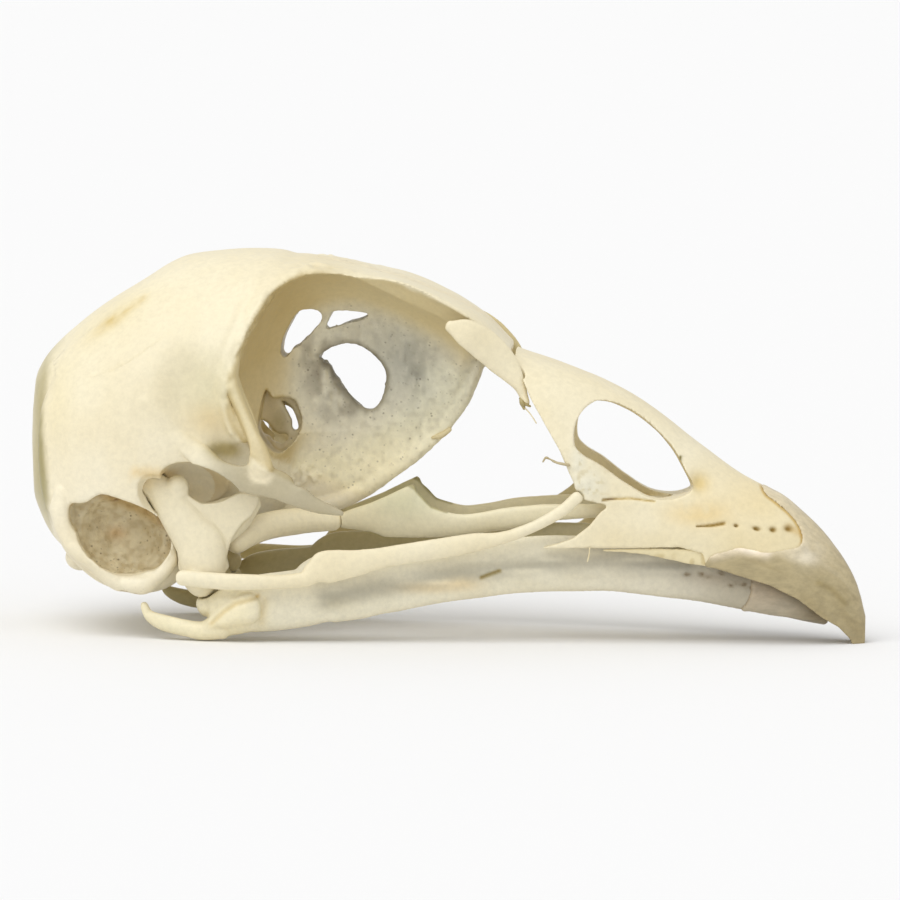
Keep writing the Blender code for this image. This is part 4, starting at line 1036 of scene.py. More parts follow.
# %% The muscle's field
points = points_of(cranium.data)
beam_foot = rise(away(points, BEAM_FOOT), 1.6, 0.5) * rise(aside(points), 2.4, 1.4)
eased(cranium, beam_foot, 60)
points = points_of(cranium.data)
behind_strut = rise(near(points, *STRUT_HOLLOW, TEMPLE_FALL), 0.12, 0.45)
behind_strut *= rise(away(points, SPUR_LINE), 0.35, 0.8) * rise(aside(points), 8.5, 9.3)
eased(cranium, behind_strut, 110)
points = points_of(cranium.data)
field = near(points, TEMPLE_FIELD, TEMPLE_RADII, TEMPLE_FALL) * rise(aside(points), 8.3, 10.2)
beside = np.maximum(rise(away(points, SPUR_LINE), 0.5, 2.8), rise(points[:, 2], 21.5, 24.0))
depths = FIELD_DEPTH * rise(field, 0.22, 0.85) * beside * rise(rim_distance(points), 0.98, 1.06)
pressed(cranium, depths)
print("the field behind the eye is", depths.max().round(2), "mm deep")

# %% Crests, rim and swellings
points = points_of(cranium.data)
outside = outer_skin(points)
rim = rim_distance(points)
lip = np.exp(-((rim - 1.0) / 0.035) ** 2) * rise(aside(points), 3.0, 4.5)
groove = np.exp(-((rim - 1.10) / 0.035) ** 2) * rise(points[:, 2], 17.0, 22.0)
heights = -1.5 * near(points, *NECK_GROOVE) * rise(points[:, 0], -31.6, -33.2)
heights += 0.35 * stroke(points, BACK_CREST, 0.6) * rise(aside(points), 4.5, 6.5)
heights += 0.15 * stroke(points, BLADE_CREST, 0.5) * rise(aside(points), 9.0, 10.5)
heights += 0.20 * near(points, BRAIN_SWELL, BRAIN_SWELL_RADII) - 0.14 * groove
heights += lip * (0.08 + 0.22 * grain(points, 0.7)) * rise(points[:, 0], -4.0, -11.0)
heights += 0.09 * grain(points, 5.0) + 0.03 * grain(points, 1.6)
relieved(cranium, heights * outside)
print("relief from", heights.min().round(2), "to", heights.max().round(2), "mm")

# %% [markdown]
# ## The porous wall and the ear bowl
#
# The wall between the eyes is as thin as paper, with threads of torn bone behind its hole and fine
# pores all over, and shiny drops of old glue stand on its foot. The floor of the ear bowl is
# spongy, with a few dark pits along its upper edge. Pits are many small round dips at random
# places, kept in one array, so that all of them are laid into the skin in one pass over the pits.

# %% Pits
TORN_THREADS = ((-11.3, 22.9), (-10.6, 21.5), (-10.0, 20.3), (-9.2, 19.2))
GLUE_DROPS = (-12.0, 1.2, 12.8), (1.5, 2.4, 0.8)
BOWL_FLOOR = (-26.7, 8.6, 8.5), (5.2, 3.4, 4.2)
LIP_PORES = (-25.4, 9.8, 4.4), (1.6, 1.6, 0.9)
PIT_RADIUS = 0.16


def pits(points, centres, radius, depth):
    """Round dips at many places: the deepest of depth * exp(-(d / radius)^2) at each point."""
    dip = np.zeros(len(points))
    for centre in centres:
        close = np.flatnonzero(np.abs(points - centre).max(axis=1) < 2.5 * radius)
        away_from = np.linalg.norm(points[close] - centre, axis=1)
        dip[close] = np.maximum(dip[close], depth * np.exp(-(away_from / radius) ** 2))
    return dip


def scattered(points, chance, where, seed):
    """Some of the mesh's own points, drawn at random with a chance that depends on the place."""
    return points[np.random.default_rng(seed).random(len(points)) < chance * where]


# %% Wall and bowl
points = points_of(cranium.data)
rim = rim_distance(points)
wall = rise(aside(points), 2.6, 1.0) * rise(rim, 1.10, 0.96) * rise(points[:, 0], -15.0, -12.5)
bowl = rise(near(points, *BOWL_FLOOR, EAR_FALL) * rise(aside(points), 9.4, 8.6), 0.3, 0.5)
hole_edge = away(points, WALL_HOLE + WALL_HOLE[:1])
threads = rise(away(points, TORN_THREADS), 1.3, 0.2)
drops = near(points, *GLUE_DROPS, 0.0, RIGHT)
fibres = grain(points * (1.0, 1.0, 0.3), 0.32, 8.0)
heights = wall * (0.03 * grain(points, 0.42) + 0.05 * grain(points, 1.3) + 0.03 * fibres)
heights += 0.10 * wall * np.exp(-((hole_edge - 0.25) / 0.3) ** 2)
heights += 0.16 * wall * threads * grain(points * (1.0, 1.0, 0.5), 0.35, 3.0)
heights += 0.22 * drops * rise(grain(points, 0.45, 7.0), 0.0, 0.3)
heights += bowl * (0.09 * grain(points, 0.45) + 0.05 * grain(points, 0.25) + 0.10 * grain(points, 1.3))
upper_bowl = bowl * rise(points[:, 2] + 0.45 * (points[:, 0] + 26.0), 9.8, 10.8)
lip_pores = near(points, *LIP_PORES, 0.0, RIGHT)
pit_places = scattered(points, 0.0014, wall + 0.7 * bowl, 5)
patchy = upper_bowl * rise(grain(points, 1.6, 5.0), -0.2, 0.4)
dark_places = scattered(points, 0.006, patchy + 0.12 * lip_pores, 6)
small = pits(points, pit_places, 0.7 * PIT_RADIUS, 0.05)
dark = pits(points, dark_places, PIT_RADIUS, 0.18)
relieved(cranium, heights - small - dark)
print(len(pit_places), "pale pits and", len(dark_places), "dark ones")

# %% [markdown]
# ## Stains and painted shade of the cranium
#
# The open bone is laid down first: every crease gets a painted shade, a little darker and yellower
# than the surface round it, which is worked out from how deep each point lies; clouds vary it over a
# few millimetres, it grows whiter towards the base, and the middle of the braincase's side gets a grey
# painted shade. The roof and the back of the eye socket get a warm brown painted shade.

# %% Open bone and socket
points, normals = points_of(cranium.data), normals_of(cranium.data)
x, y, z = points.T
out = aside(points)
outside, rim = outer_skin(points), rim_distance(points)
depth = hollows(cranium, 14)
tint = plain(points)
cloud, flecks, fine = grain(points, 3.0, 9.0), grain(points, 0.7, 4.0), grain(points, 0.35, 2.0)
in_orbit = rise(rim + 0.012 * grain(points, 0.8), 1.015, 0.975) * outside
open_skin = (1.0 - in_orbit) * (1.0 - bowl)
socket = in_orbit * (1.0 - wall)
# Painted shade: creases are darkened and yellowed by how deep they lie below their surroundings.
washed(tint, 0.6 * rise(depth, 0.03, 0.20) * (1.0 - wall), (0.84, 0.75, 0.52))
washed(tint, 0.35 * open_skin * rise(cloud, -0.2, 0.9), (0.97, 0.95, 0.90))
washed(tint, 0.5 * open_skin * rise(z, 21.0, 11.0), (1.00, 1.01, 1.08))
# Painted shade: the middle of the braincase's side is greyed.
washed(tint, 0.9 * open_skin * near(points, (-24.0, 12.0, 21.5), (6.0, 8.0, 5.0)), (0.94, 0.93, 0.91))
# Painted shade: the socket's roof, its forward-facing back wall and its rear get a warm brown.
washed(tint, socket * rise(-normals[:, 2], -0.25, 0.55), (0.80, 0.74, 0.58))
washed(tint, 0.7 * socket * rise(normals[:, 0], 0.2, 0.8) * rise(x, -9.0, -12.5), (0.85, 0.79, 0.63))
washed(tint, socket * rise(x, -7.0, -12.0), (0.88, 0.84, 0.74))
print("the deepest crease lies", depth.max().round(2), "mm below its surroundings")

# %% [markdown]
# ## The grey wall and its glue
#
# Light passes through the thin wall, so it is painted cool and grey beside the cream bone, darkest at
# the torn threads, with a painted shade along the edge of the hole, and cream again along the beam at
# its foot. Paper thin bone could be made really see-through, but a tint keeps its look from every
# side. The drops of glue are paler than the bone and shine, and pale specks on them are painted glints.

# %% Tones of the wall
wall_tone = rise(rim, 0.99, 0.88)
thread_shade = rise(away(points, TORN_THREADS), 2.8, 0.5) * rise(grain(points, 0.8, 2.0), -0.9, 0.4)
smudge_grain = rise(grain(points * (1.6, 1, 0.5), 0.5), -0.6, 0.5)
border = rise(rim, 0.90, 1.0) * rise(rim, 1.15, 1.0) * rise(out, 1.6, 0.9) * rise(x, -13.0, -11.0)
washed(tint, wall * wall_tone * rise(z, 13.5, 18.5), (0.88, 0.91, 0.97))
washed(tint, wall * near(points, (-4.3, 0.0, 22.8), (4.6, 5.0, 4.2)), (0.66, 0.68, 0.72))
# Painted shade: the see-through wall is darkened round the torn threads.
washed(tint, wall * thread_shade, (0.54, 0.52, 0.50))
washed(tint, wall * near(points, (-2.9, 0.0, 21.8), (1.0, 3.0, 2.6)) * smudge_grain, (0.66, 0.66, 0.65))
# Painted shade: a dark line along the edge of the hole in the thin wall.
washed(tint, wall * rise(hole_edge, 0.5, 0.1), (0.60, 0.58, 0.54))
washed(tint, 0.6 * wall * rise(fibres, 0.0, 0.9) * rise(z, 15.0, 19.0), (0.82, 0.82, 0.84))
washed(tint, wall * rise(away(points, BEAM_FOOT), 3.2, 1.2), (1.12, 1.14, 1.12))
washed(tint, 0.9 * wall * rise(fine, 0.1, 0.8), (0.84, 0.83, 0.82))
washed(tint, 0.9 * wall * rise(-fine, 0.2, 0.8), (1.08, 1.08, 1.09))
washed(tint, 0.7 * border, (1.02, 0.99, 0.94))
# Partly real, partly painted highlight: the glue drops are whitened on their bumps, as paler glue with
# painted glints.
washed(tint, 0.7 * drops * rise(grain(points, 0.45, 7.0), 0.1, 0.4), (1.16, 1.18, 1.24))
tint[:, 3] += 1.1 * drops
print("the wall's own share of the points is", wall.mean().round(3))

# %% [markdown]
# ## Marks of grease, and the back of the head
#
# Grease left a slim yellow streak on the crown and an orange breath of colour in the jaw muscle's
# field. The streak is on the right side only, because nothing says that the left has one. Behind
# the neck crest the bone gets an olive painted shade. A hard edge there would look like paint, so
# the crest's line is shifted by two grains.

# %% Marks on the crown and behind
STREAK_PATH = ((-25.2, 28.0), (-26.6, 27.1), (-28.0, 25.9), (-29.0, 25.0))
STREAK = (-27.9, 5.6, 26.0), (1.5, 3.0, 0.42)
STREAK_HALO = (-27.2, 5.5, 26.6), (3.6, 4.0, 1.3)
CROWN_FALL = math.radians(-38.0)
CREST_LINE = ((9.5, -33.1), (14.3, -33.45), (19.0, -33.85), (22.4, -33.6), (24.0, -32.6))

drawn = 0.8 * stroke(points, STREAK_PATH, 0.22) * (y < 0.0) * rise(z, 24.6, 25.4)
streak = np.maximum(near(points, *STREAK, CROWN_FALL, RIGHT), drawn)
washed(tint, streak * rise(flecks, -0.9, 0.3), (0.80, 0.67, 0.36))
washed(tint, 0.35 * near(points, *STREAK_HALO, CROWN_FALL, RIGHT), (0.97, 0.93, 0.72))
washed(tint, 0.6 * near(points, (-19.4, 11.0, 18.5), (1.9, 3.0, 1.4)), (0.97, 0.83, 0.62))
# Painted shade: the muscle's field behind the strut is greyed.
washed(tint, 0.9 * near(points, (-19.4, 11.5, 20.5), (2.9, 3.5, 3.8), TEMPLE_FALL), (0.86, 0.87, 0.81))
washed(tint, 0.3 * near(points, (-32.0, 8.0, 19.5), (1.3, 4.0, 3.5)), (0.95, 0.93, 0.78))

# Painted shade: the bone behind the neck crest gets an olive shade, stronger away from the middle, with paler
# flecks.
behind = rise(x - line(CREST_LINE, z) + 0.15 * flecks + 0.1 * cloud, 0.75, -0.05)
behind *= rise(z, 5.0, 12.0) * rise(z, 26.0, 22.0)
washed(tint, behind * outside * (0.45 + 0.55 * rise(out, 1.5, 5.5)), (0.44, 0.42, 0.27))
washed(tint, 0.3 * behind * rise(flecks, 0.0, 0.8), (0.80, 0.80, 0.74))
print("the streak runs over", round(STREAK_PATH[0][0] - STREAK_PATH[-1][0], 1), "mm")

# %% [markdown]
# ## The ear, the nerve's pocket and the cheek blade
#
# The floor of the ear is grey brown with pale spongy patches and an orange breath in the middle, and
# its upper part under the overhanging wall gets a brown painted shadow. The recess in front of it,
# the pit at the temple and the nerve's pocket get a painted shade that is darker the deeper they go,
# and the cheek blade is greyer than the bone it stands on. The two sets of pits come last, with
# their own depths as the amount of painted shade, so that every dark dot is a real hole.

# %% Stains of the hollows
EAR_SPONGE = (-26.9, 7.5, 7.6), (2.6, 3.0, 1.9)
EAR_BREATH = (-27.2, 7.0, 8.4), (0.8, 3.0, 0.6)
HEAD_SHADE = ((-25.3, 14.0), (-23.4, 13.9), (-22.6, 13.6))
BLADE_LINE = [(place[0], place[2]) for place in CHEEK_BLADE[3:]]

washed(tint, bowl * (0.85 + 0.3 * cloud), (0.72, 0.68, 0.60))
washed(tint, bowl * rise(fine + 0.5 * flecks, -0.3, 0.6), (0.84, 0.80, 0.73))
washed(tint, 0.9 * bowl * near(points, *EAR_SPONGE) * rise(flecks, 0.4, -0.5), (1.20, 1.22, 1.26))
# Painted shadow: the upper part of the ear bowl, under the overhanging wall, is darkened brown.
washed(tint, 0.9 * upper_bowl, (0.80, 0.66, 0.44))
washed(tint, 0.7 * bowl * near(points, *EAR_BREATH, 0.0, RIGHT), (0.97, 0.74, 0.50))
# Painted shade: the recess, the pit at the temple and the nerve's pocket are darkened the deeper they lie.
recess = near(points, (-19.9, 10.0, 12.9), (3.4, 3.2, 2.2)) * rise(out, 11.4, 10.4) * outside
washed(tint, 0.9 * rise(recess, 0.15, 0.6), (0.86, 0.78, 0.62))
washed(tint, 0.7 * stroke(points, HEAD_SHADE, 0.45) * (1.0 - bowl), (0.93, 0.78, 0.52))
washed(tint, rise(near(points, TEMPLE_PIT, (2.0, 2.6, 0.85), PIT_FALL), 0.1, 0.8), (0.62, 0.56, 0.35))
pocket = rise(near(points, (-14.2, 2.6, 17.3), (1.9, 2.6, 2.5)), 0.35, 0.6)
washed(tint, pocket * rise(x, -12.2, -12.9) * rise(out, 5.4, 4.6), (0.58, 0.54, 0.36))
blade = rise(away(points, BLADE_LINE), 1.9, 1.4) * rise(out, 10.2, 11.0)
washed(tint, blade * rise(x, -20.6, -17.4) * rise(away(points, SPUR_LINE), 0.7, 1.3), (0.60, 0.59, 0.55))
# Painted shade: the pits are darkened by their own depth.
washed(tint, dark / 0.13, (0.42, 0.31, 0.18))
washed(tint, small / 0.10, (0.88, 0.85, 0.78))
porous = np.clip(0.7 * wall + 0.9 * bowl + 0.4 * lip_pores + 0.06, 0.0, 1.0) * outside
stained(cranium, tint, porous)
print("stained", len(points), "points")

# %% The finished cranium
CRANIUM_TRIANGLES = 190000
finished(thinned(cranium, CRANIUM_TRIANGLES), bone, "bone", "cranium")

# %% [markdown]
# ## The small bones of the cheek and palate
#
# The lacrimal is a leaf on the front rim of the eye socket. The cheek bar is a rod thinner than a
# match, and the pterygoid props the palate against the quadrate. The palatine is an upright plate
# between a top and a bottom line, torn at its highest point. All come from the stations above,
# melted finely so that no ring shows. Their creases and the faces turned to the middle of the skull
# get an olive brown painted shade, worked out from how deep each point lies and the way it faces,
# and the pterygoid's outer faces get a painted light.

# %% Palatine
PALATINE_TOP = ((-9.3, 9.9), (-8.3, 10.3), (-5.8, 11.3), (-3.5, 12.45), (-2.75, 12.75), (-2.55, 12.2),
                (-2.0, 11.7), (-1.2, 10.9), (1.3, 10.35), (5.8, 11.1), (9.2, 11.4), (12.9, 11.5),
                (14.6, 11.5))
PALATINE_BOTTOM = ((-9.3, 8.85), (-6.3, 8.6), (-5.0, 8.2), (-1.7, 8.3), (4.2, 9.0), (9.2, 10.0),
                   (12.9, 10.4), (14.6, 10.6))
PALATINE_OUT = ((-9.3, 2.3), (-5.0, 3.2), (0.0, 3.8), (6.0, 3.9), (14.6, 4.2))
PALATINE_HALF = ((-9.3, 0.6), (-3.0, 0.4), (14.6, 0.45))
TORN_EDGE = ((-3.2, 12.7), (-2.6, 12.4), (-2.1, 11.8), (-1.2, 10.95), (0.0, 10.6))


def plate(name, side, top, bottom, out, half, grow=0.0, around=24, count=120):
    """A thin upright plate: half height from the top and bottom lines, half thickness by its own.

    Its sections across x are superellipses of power 2.4.
    """
    places = np.linspace(top[0][0] - grow, top[-1][0] + grow, count)
    high, low = line(top, places) + grow, line(bottom, places) - grow
    place, thick = line(out, places), line(half, places) + grow
    angle = np.linspace(0.0, 2.0 * math.pi, around, endpoint=False)[None, :]
    across, up = superellipse(angle, 2.4)
    middle, tall = (0.5 * (high + low))[:, None], (0.5 * (high - low))[:, None]
    x = np.broadcast_to(places[:, None], (count, around))
    y = side * (place[:, None] + across * thick[:, None])
    return skin(name, np.stack([x, y, middle + up * tall], axis=-1))


def palatine(name, side, grow=0.0):
    """The palatine, or with a grow above 0 its seat."""
    return plate(name, side, PALATINE_TOP, PALATINE_BOTTOM, PALATINE_OUT, PALATINE_HALF, grow)


print("the palatine is", round(PALATINE_TOP[-1][0] - PALATINE_TOP[0][0], 1), "mm long")


# %% Small bones
SMALL_VOXEL, QUADRATE_VOXEL = 0.09, 0.12
SMALL_TRIANGLES, QUADRATE_TRIANGLES = 24000, 30000
ROUGH, HARDLY_POROUS = 0.02, 0.05


def weathered(made, voxel, rounds, roughness, inner=0.9):
    """Melt a small bone, roughen it, and paint shade into its creases and, by some amount, its inner face."""
    melted(made, voxel, rounds)
    points = points_of(made.data)
    relieved(made, roughness * (grain(points, 1.3) + 0.5 * grain(points, 0.5)))
    points, normals = points_of(made.data), normals_of(made.data)
    tint = plain(points)
    # Painted shade: creases are darkened, and the faces turned to the middle get olive brown.
    washed(tint, rise(hollows(made, 10), 0.02, 0.12), (0.86, 0.76, 0.52))
    washed(tint, inner * facing_in(points, normals), (0.66, 0.61, 0.44))
    return points, tint


for side, name in SIDES:
    quadrate, *parts = quadrate_parts(side)
    quadrate.name = "quadrate_bone_" + name
    combined(quadrate, parts, "UNION")
    seats = [limb("jugal_seat", JUGAL, side, SEAT), limb("pterygoid_seat", PTERYGOID, side, SEAT)]
    combined(quadrate, seats, "DIFFERENCE")
    points, tint = weathered(quadrate, QUADRATE_VOXEL, 4, ROUGH)
    washed(tint, np.ones(len(points)), (0.94, 0.94, 0.94))
    washed(tint, 0.8 * near(points, (-24.7, 9.6, 13.1), (0.9, 2.0, 0.8)), (0.96, 0.84, 0.60))
    washed(tint, 0.5 * near(points, (-19.7, 9.6, 5.2), (2.2, 2.4, 1.0)), (0.96, 0.88, 0.70))
    stained(quadrate, tint, np.full(len(tint), HARDLY_POROUS))
    finished(thinned(quadrate, QUADRATE_TRIANGLES), bone, "bone", "quadrate_" + name)
    palate_plate = palatine("palatine_bone_" + name, side)
    combined(palate_plate, [limb("pterygoid_seat", PTERYGOID, side, 0.05)], "DIFFERENCE")
    for made, node in ((palate_plate, "palatine_"), (limb("cheek_bar_" + name, JUGAL, side), "jugal_"),
                       (limb("pterygoid_bone_" + name, PTERYGOID, side), "pterygoid_"),
                       (lacrimal("lacrimal_bone_" + name, side), "lacrimal_")):
        points, tint = weathered(made, SMALL_VOXEL, 3, ROUGH, 0.4 if node == "palatine_" else 0.9)
        if node == "palatine_":
            washed(tint, np.ones(len(points)), (0.97, 0.98, 0.96))
            washed(tint, 0.9 * near(points, (-3.6, 3.5, 11.3), (3.0, 3.0, 1.5)), (0.84, 0.88, 0.84))
            washed(tint, rise(away(points, TORN_EDGE), 0.30, 0.08), (0.52, 0.50, 0.36))
        if node == "pterygoid_":
            # Painted light: the pterygoid's outer faces are brightened against the shadow it lies in.
            washed(tint, 1.0 - facing_in(points, normals_of(made.data)), (1.15, 1.15, 1.14))
        stained(made, tint, np.full(len(tint), HARDLY_POROUS))
        finished(thinned(made, SMALL_TRIANGLES), bone, "bone", node + name)

# %% [markdown]
# ## The upper bill
#
# The upper bill is an arched shell, open below: an outer loft and a hollow one inside it, cut to
# the side outline, with the long nostril through it from side to side. Its tip carries the horn.
# The horn is parted from the bone by a thin saw that follows its edge. Each is melted by itself,
# which rounds the lip of the horn, and the bone runs on a little under it, so that nothing shows
# through the seam.

# %% Lines of the upper bill
RIDGE = ((4.0, 24.7), (5.8, 23.85), (7.9, 23.2), (10.8, 22.2), (14.2, 20.8), (17.5, 18.8), (20.8, 16.3),
         (24.2, 13.95), (26.4, 12.85), (27.75, 12.2), (29.25, 11.05), (31.1, 9.35), (32.8, 7.25), (34.2, 4.7),
         (34.9, 2.2))
EDGE = ((4.0, 7.2), (20.8, 6.5), (24.2, 5.2), (27.75, 3.9), (29.25, 3.2), (31.1, 1.8), (32.8, 0.6),
        (34.2, -0.9), (34.9, -1.0))
BILL_HALF = ((4.0, 7.3), (7.9, 7.3), (10.8, 7.15), (14.2, 6.7), (17.5, 6.2), (20.8, 5.7), (24.2, 5.2),
             (27.75, 4.5), (29.25, 4.0), (31.1, 3.2), (32.8, 2.3), (34.2, 1.4), (34.9, 0.8))
BILL_POWER = ((4.0, 3.6), (10.8, 3.0), (17.5, 2.4), (24.0, 2.1), (34.9, 2.0))
BILL_CEILING = ((4.0, 23.2), (10.8, 20.7), (15.5, 17.4), (18.0, 13.5), (20.0, 11.2), (24.0, 9.0),
                (27.0, 7.7), (29.25, 6.0), (31.1, 4.1), (32.6, 2.2), (33.4, -0.5))
BILL_WALL, BILL_REACH = 0.72, 12.0
BILL_SIDE = ((5.3, 25.5), (16.0, 25.0), (36.0, 14.0), (36.0, -1.0), (34.3, -0.9), (33.6, 0.5), (32.7, 1.45),
             (31.3, 2.3), (29.25, 3.9), (27.1, 5.0), (24.8, 5.7), (22.6, 6.4), (21.7, 6.65), (21.4, 7.7),
             (19.4, 8.2), (16.1, 8.1), (10.3, 8.05), (7.6, 7.9), (9.5, 8.4), (10.7, 8.85), (12.0, 9.9),
             (12.8, 10.95), (13.6, 11.6), (12.0, 11.95), (11.2, 12.2), (10.6, 13.6), (9.5, 16.0),
             (8.2, 18.1), (7.0, 20.1), (6.1, 21.9), (5.4, 23.0))
NOSTRIL = ((10.6, 16.75), (10.9, 18.8), (12.4, 20.1), (14.8, 19.5), (16.9, 18.1), (18.5, 16.5),
           (19.8, 14.4), (20.3, 12.9), (18.9, 12.15), (16.9, 12.3), (14.8, 13.5), (12.7, 14.95),
           (11.3, 15.75))
NOSTRIL_SHIFT = {RIGHT: (0.0, 0.0), LEFT: (-0.25, -0.4)}
PALATE_SHELF = ((15.2, 4.2, 11.0, 1.2, 0.45), (18.5, 3.9, 10.9, 1.3, 0.5), (22.5, 3.4, 10.4, 1.4, 0.8))
HORN_EDGE = ((25.7, 13.9), (26.3, 12.5), (27.3, 11.7), (28.4, 10.8), (29.2, 9.8), (29.55, 8.9),
             (29.3, 8.2), (28.1, 7.95), (26.6, 7.75), (25.4, 8.0), (24.3, 8.15), (23.2, 7.85),
             (22.3, 7.6), (21.7, 6.95), (21.3, 5.6))
NOSTRIL_REACH, NOSTRIL_MIDDLE = 6.05, 6.0
BILL_VOXEL, SAW = 0.13, 0.04
print("the bill is", round(RIDGE[-1][0] - RIDGE[0][0], 1), "mm long")


# %% Parting bone and horn
def rested(made):
    """Cut away what would sink below the table, which leaves small flats at z = 0."""
    shape = bmesh.new()
    shape.from_mesh(made.data)
    everything = shape.verts[:] + shape.edges[:] + shape.faces[:]
    cut = bmesh.ops.bisect_plane(shape, geom=everything, dist=0.000001, plane_co=(0, 0, 0),
                                 plane_no=(0, 0, 1), clear_inner=True)
    rim = [part for part in cut["geom_cut"] if isinstance(part, bmesh.types.BMEdge)]
    bmesh.ops.holes_fill(shape, edges=rim, sides=0)
    bmesh.ops.triangulate(shape, faces=shape.faces)
    shape.to_mesh(made.data)
    shape.free()


def kept_end(made, way):
    """Keep the surface that reaches furthest back (-1) or furthest forward (+1)."""
    label = labels(made.data)
    kept = label[(points_of(made.data)[:, 0] * way).argmax()]
    return without(made, label != kept)


def parted(made, front_name, path, voxel, rounds, tuck=0.3):
    """Part a piece along a path in the side view, and melt both ends by themselves.

    A thin upright saw follows the path for the front piece. For the rear one it follows the same
    path moved forward by the tuck, along its left: so the rear piece runs on a little under the
    front one, as bone does under horn. Both stay closed.
    """
    tidied(made)
    path = round_path(path)
    ahead = np.gradient(path, axis=0)
    left = np.stack([-ahead[:, 1], ahead[:, 0]], axis=-1) / np.linalg.norm(ahead, axis=1)[:, None]
    front = linked(front_name, made.data.copy())
    for piece, middle, way in ((made, path + tuck * left, -1), (front, path, 1)):
        outline = np.vstack([middle + 0.5 * SAW * left, (middle - 0.5 * SAW * left)[::-1]])
        combined(piece, [prism("saw", outline, BILL_REACH)], "DIFFERENCE")
        rested(melted(kept_end(piece, way), voxel, rounds))
    return made, front


# %% Arch of the upper bill
places = np.linspace(4.0, TIP, 150)
ridge, edge, half, power = (line(keys, places) for keys in (RIDGE, EDGE, BILL_HALF, BILL_POWER))
flat = np.zeros_like(places)
upper_bill = loft("upper_bill_bone", places, ridge, edge, edge - 0.3, half, power, flat + 4.0, around=120)
ceiling = line(BILL_CEILING, places)
inner = ceiling > edge + 0.4
hollow = loft("hollow", places[inner] - 0.4, ceiling[inner], edge[inner], edge[inner] - 2.0,
              half[inner] - BILL_WALL, power[inner], flat[inner] + 6.0)
rear = loft("rear", np.array([3.0, 4.6]), ceiling[:2], edge[:2], edge[:2] - 2.0,
            half[:2] - BILL_WALL, power[:2], flat[:2] + 6.0)
combined(upper_bill, [hollow, rear], "DIFFERENCE")
combined(upper_bill, [prism("side", BILL_SIDE, BILL_REACH)], "INTERSECT")
combined(upper_bill, [limb("palate_shelf", PALATE_SHELF, side) for side, _ in SIDES], "UNION")
print("the arch has", len(upper_bill.data.polygons), "faces")

# %% Nostril, seats and the parting
cuts = []
for side, _ in SIDES:
    nostril = round_outline(NOSTRIL) + NOSTRIL_SHIFT[side]
    cuts.append(prism("nostril", nostril, NOSTRIL_REACH, side * NOSTRIL_MIDDLE))
    cuts += [lacrimal("seat", side, SEAT), limb("seat", JUGAL, side, SEAT), palatine("seat", side, SEAT)]
combined(upper_bill, cuts, "DIFFERENCE")
upper_bill, upper_horn = parted(upper_bill, "upper_horn", HORN_EDGE, BILL_VOXEL, 3)
print("bone", len(upper_bill.data.vertices), "points, horn", len(upper_horn.data.vertices))

# %% [markdown]
# ## The bill's bone: slit, nerve holes, glue and stains
#
# In front of the nostril the nerves came out through a slit and a row of holes that grow towards the
# horn. The bone round them is orange. Behind the nostril old glue holds the cheek bar, and a
# crack runs forward from it. Each mark is a short path or a place read off the photo, and the
# heights and the colour come from the distance to it. The slit, the holes and the recess in front
# of the nostril are darkened as painted shade, and so are the creases and the inner faces.

# %% Relief of the bill's bone
SLIT = ((20.9, 9.93), (22.1, 10.0), (23.1, 10.16))
NERVE_HOLES = ((24.1, 9.97, 0.17, 0.11), (25.8, 9.72, 0.30, 0.14), (27.16, 9.63, 0.28, 0.19),
               (28.43, 9.67, 0.36, 0.24))
HOLE_FALL, RECESS_LEAN = math.radians(15.0), math.radians(-50.0)
SMEAR = ((28.4, 9.8), (29.4, 9.2))
CRACK = ((13.1, 12.08), (13.95, 12.17), (15.36, 12.22), (17.34, 11.98))
DARK_DOT = ((19.34, 15.52), (19.3, 15.2))
GLUE = (11.9, 7.0, 13.4), (1.7, 2.5, 1.6)
GLUE_ABOVE = (11.0, 7.0, 15.2), (0.7, 2.0, 1.3)
NOSE_RECESS = (21.1, 5.6, 13.6), (0.85, 2.4, 0.9)

points, normals = points_of(upper_bill.data), normals_of(upper_bill.data)
turned_out = facing_out(points, normals)
out = rise(turned_out, -0.1, 0.3)
near_side = out * (points[:, 1] < 0.0)
slit = out * stroke(points, SLIT, 0.07 + 0.06 * rise(points[:, 0], 20.8, 22.8))
holes = [near(points, (x, 5.0, z), (size, 3.0, high), HOLE_FALL) for x, z, size, high in NERVE_HOLES]
holes = out * np.max(holes, axis=0)
glue = near_side * np.maximum(near(points, *GLUE), near(points, *GLUE_ABOVE))
crumbs = rise(grain(points, 0.45, 3.0), -0.1, 0.5)
crack = near_side * stroke(points, CRACK, 0.09)
recess = near(points, *NOSE_RECESS, RECESS_LEAN) * rise(turned_out, -0.6, 0.0)
heights = 0.05 * grain(points, 3.0) + 0.02 * grain(points, 0.9)
heights += glue * (0.05 + 0.10 * crumbs) - 0.16 * crack - 0.22 * slit - 0.35 * holes - 0.45 * recess
seam = beside_path(points, round_path(HORN_EDGE))
heights -= 0.12 * rise(seam, -0.05, 0.15)
relieved(upper_bill, heights)
print("relief of the bill from", heights.min().round(2), "to", heights.max().round(2), "mm")

# %% Stains of the bill's bone
UPPER_BILL_TRIANGLES = 130000
BLUSH = (21.0, 6.0, 10.9), (2.6, 4.0, 1.0)
BLUSH_HALO = (24.5, 6.0, 11.8), (3.5, 5.0, 1.6)

tint = plain(points)
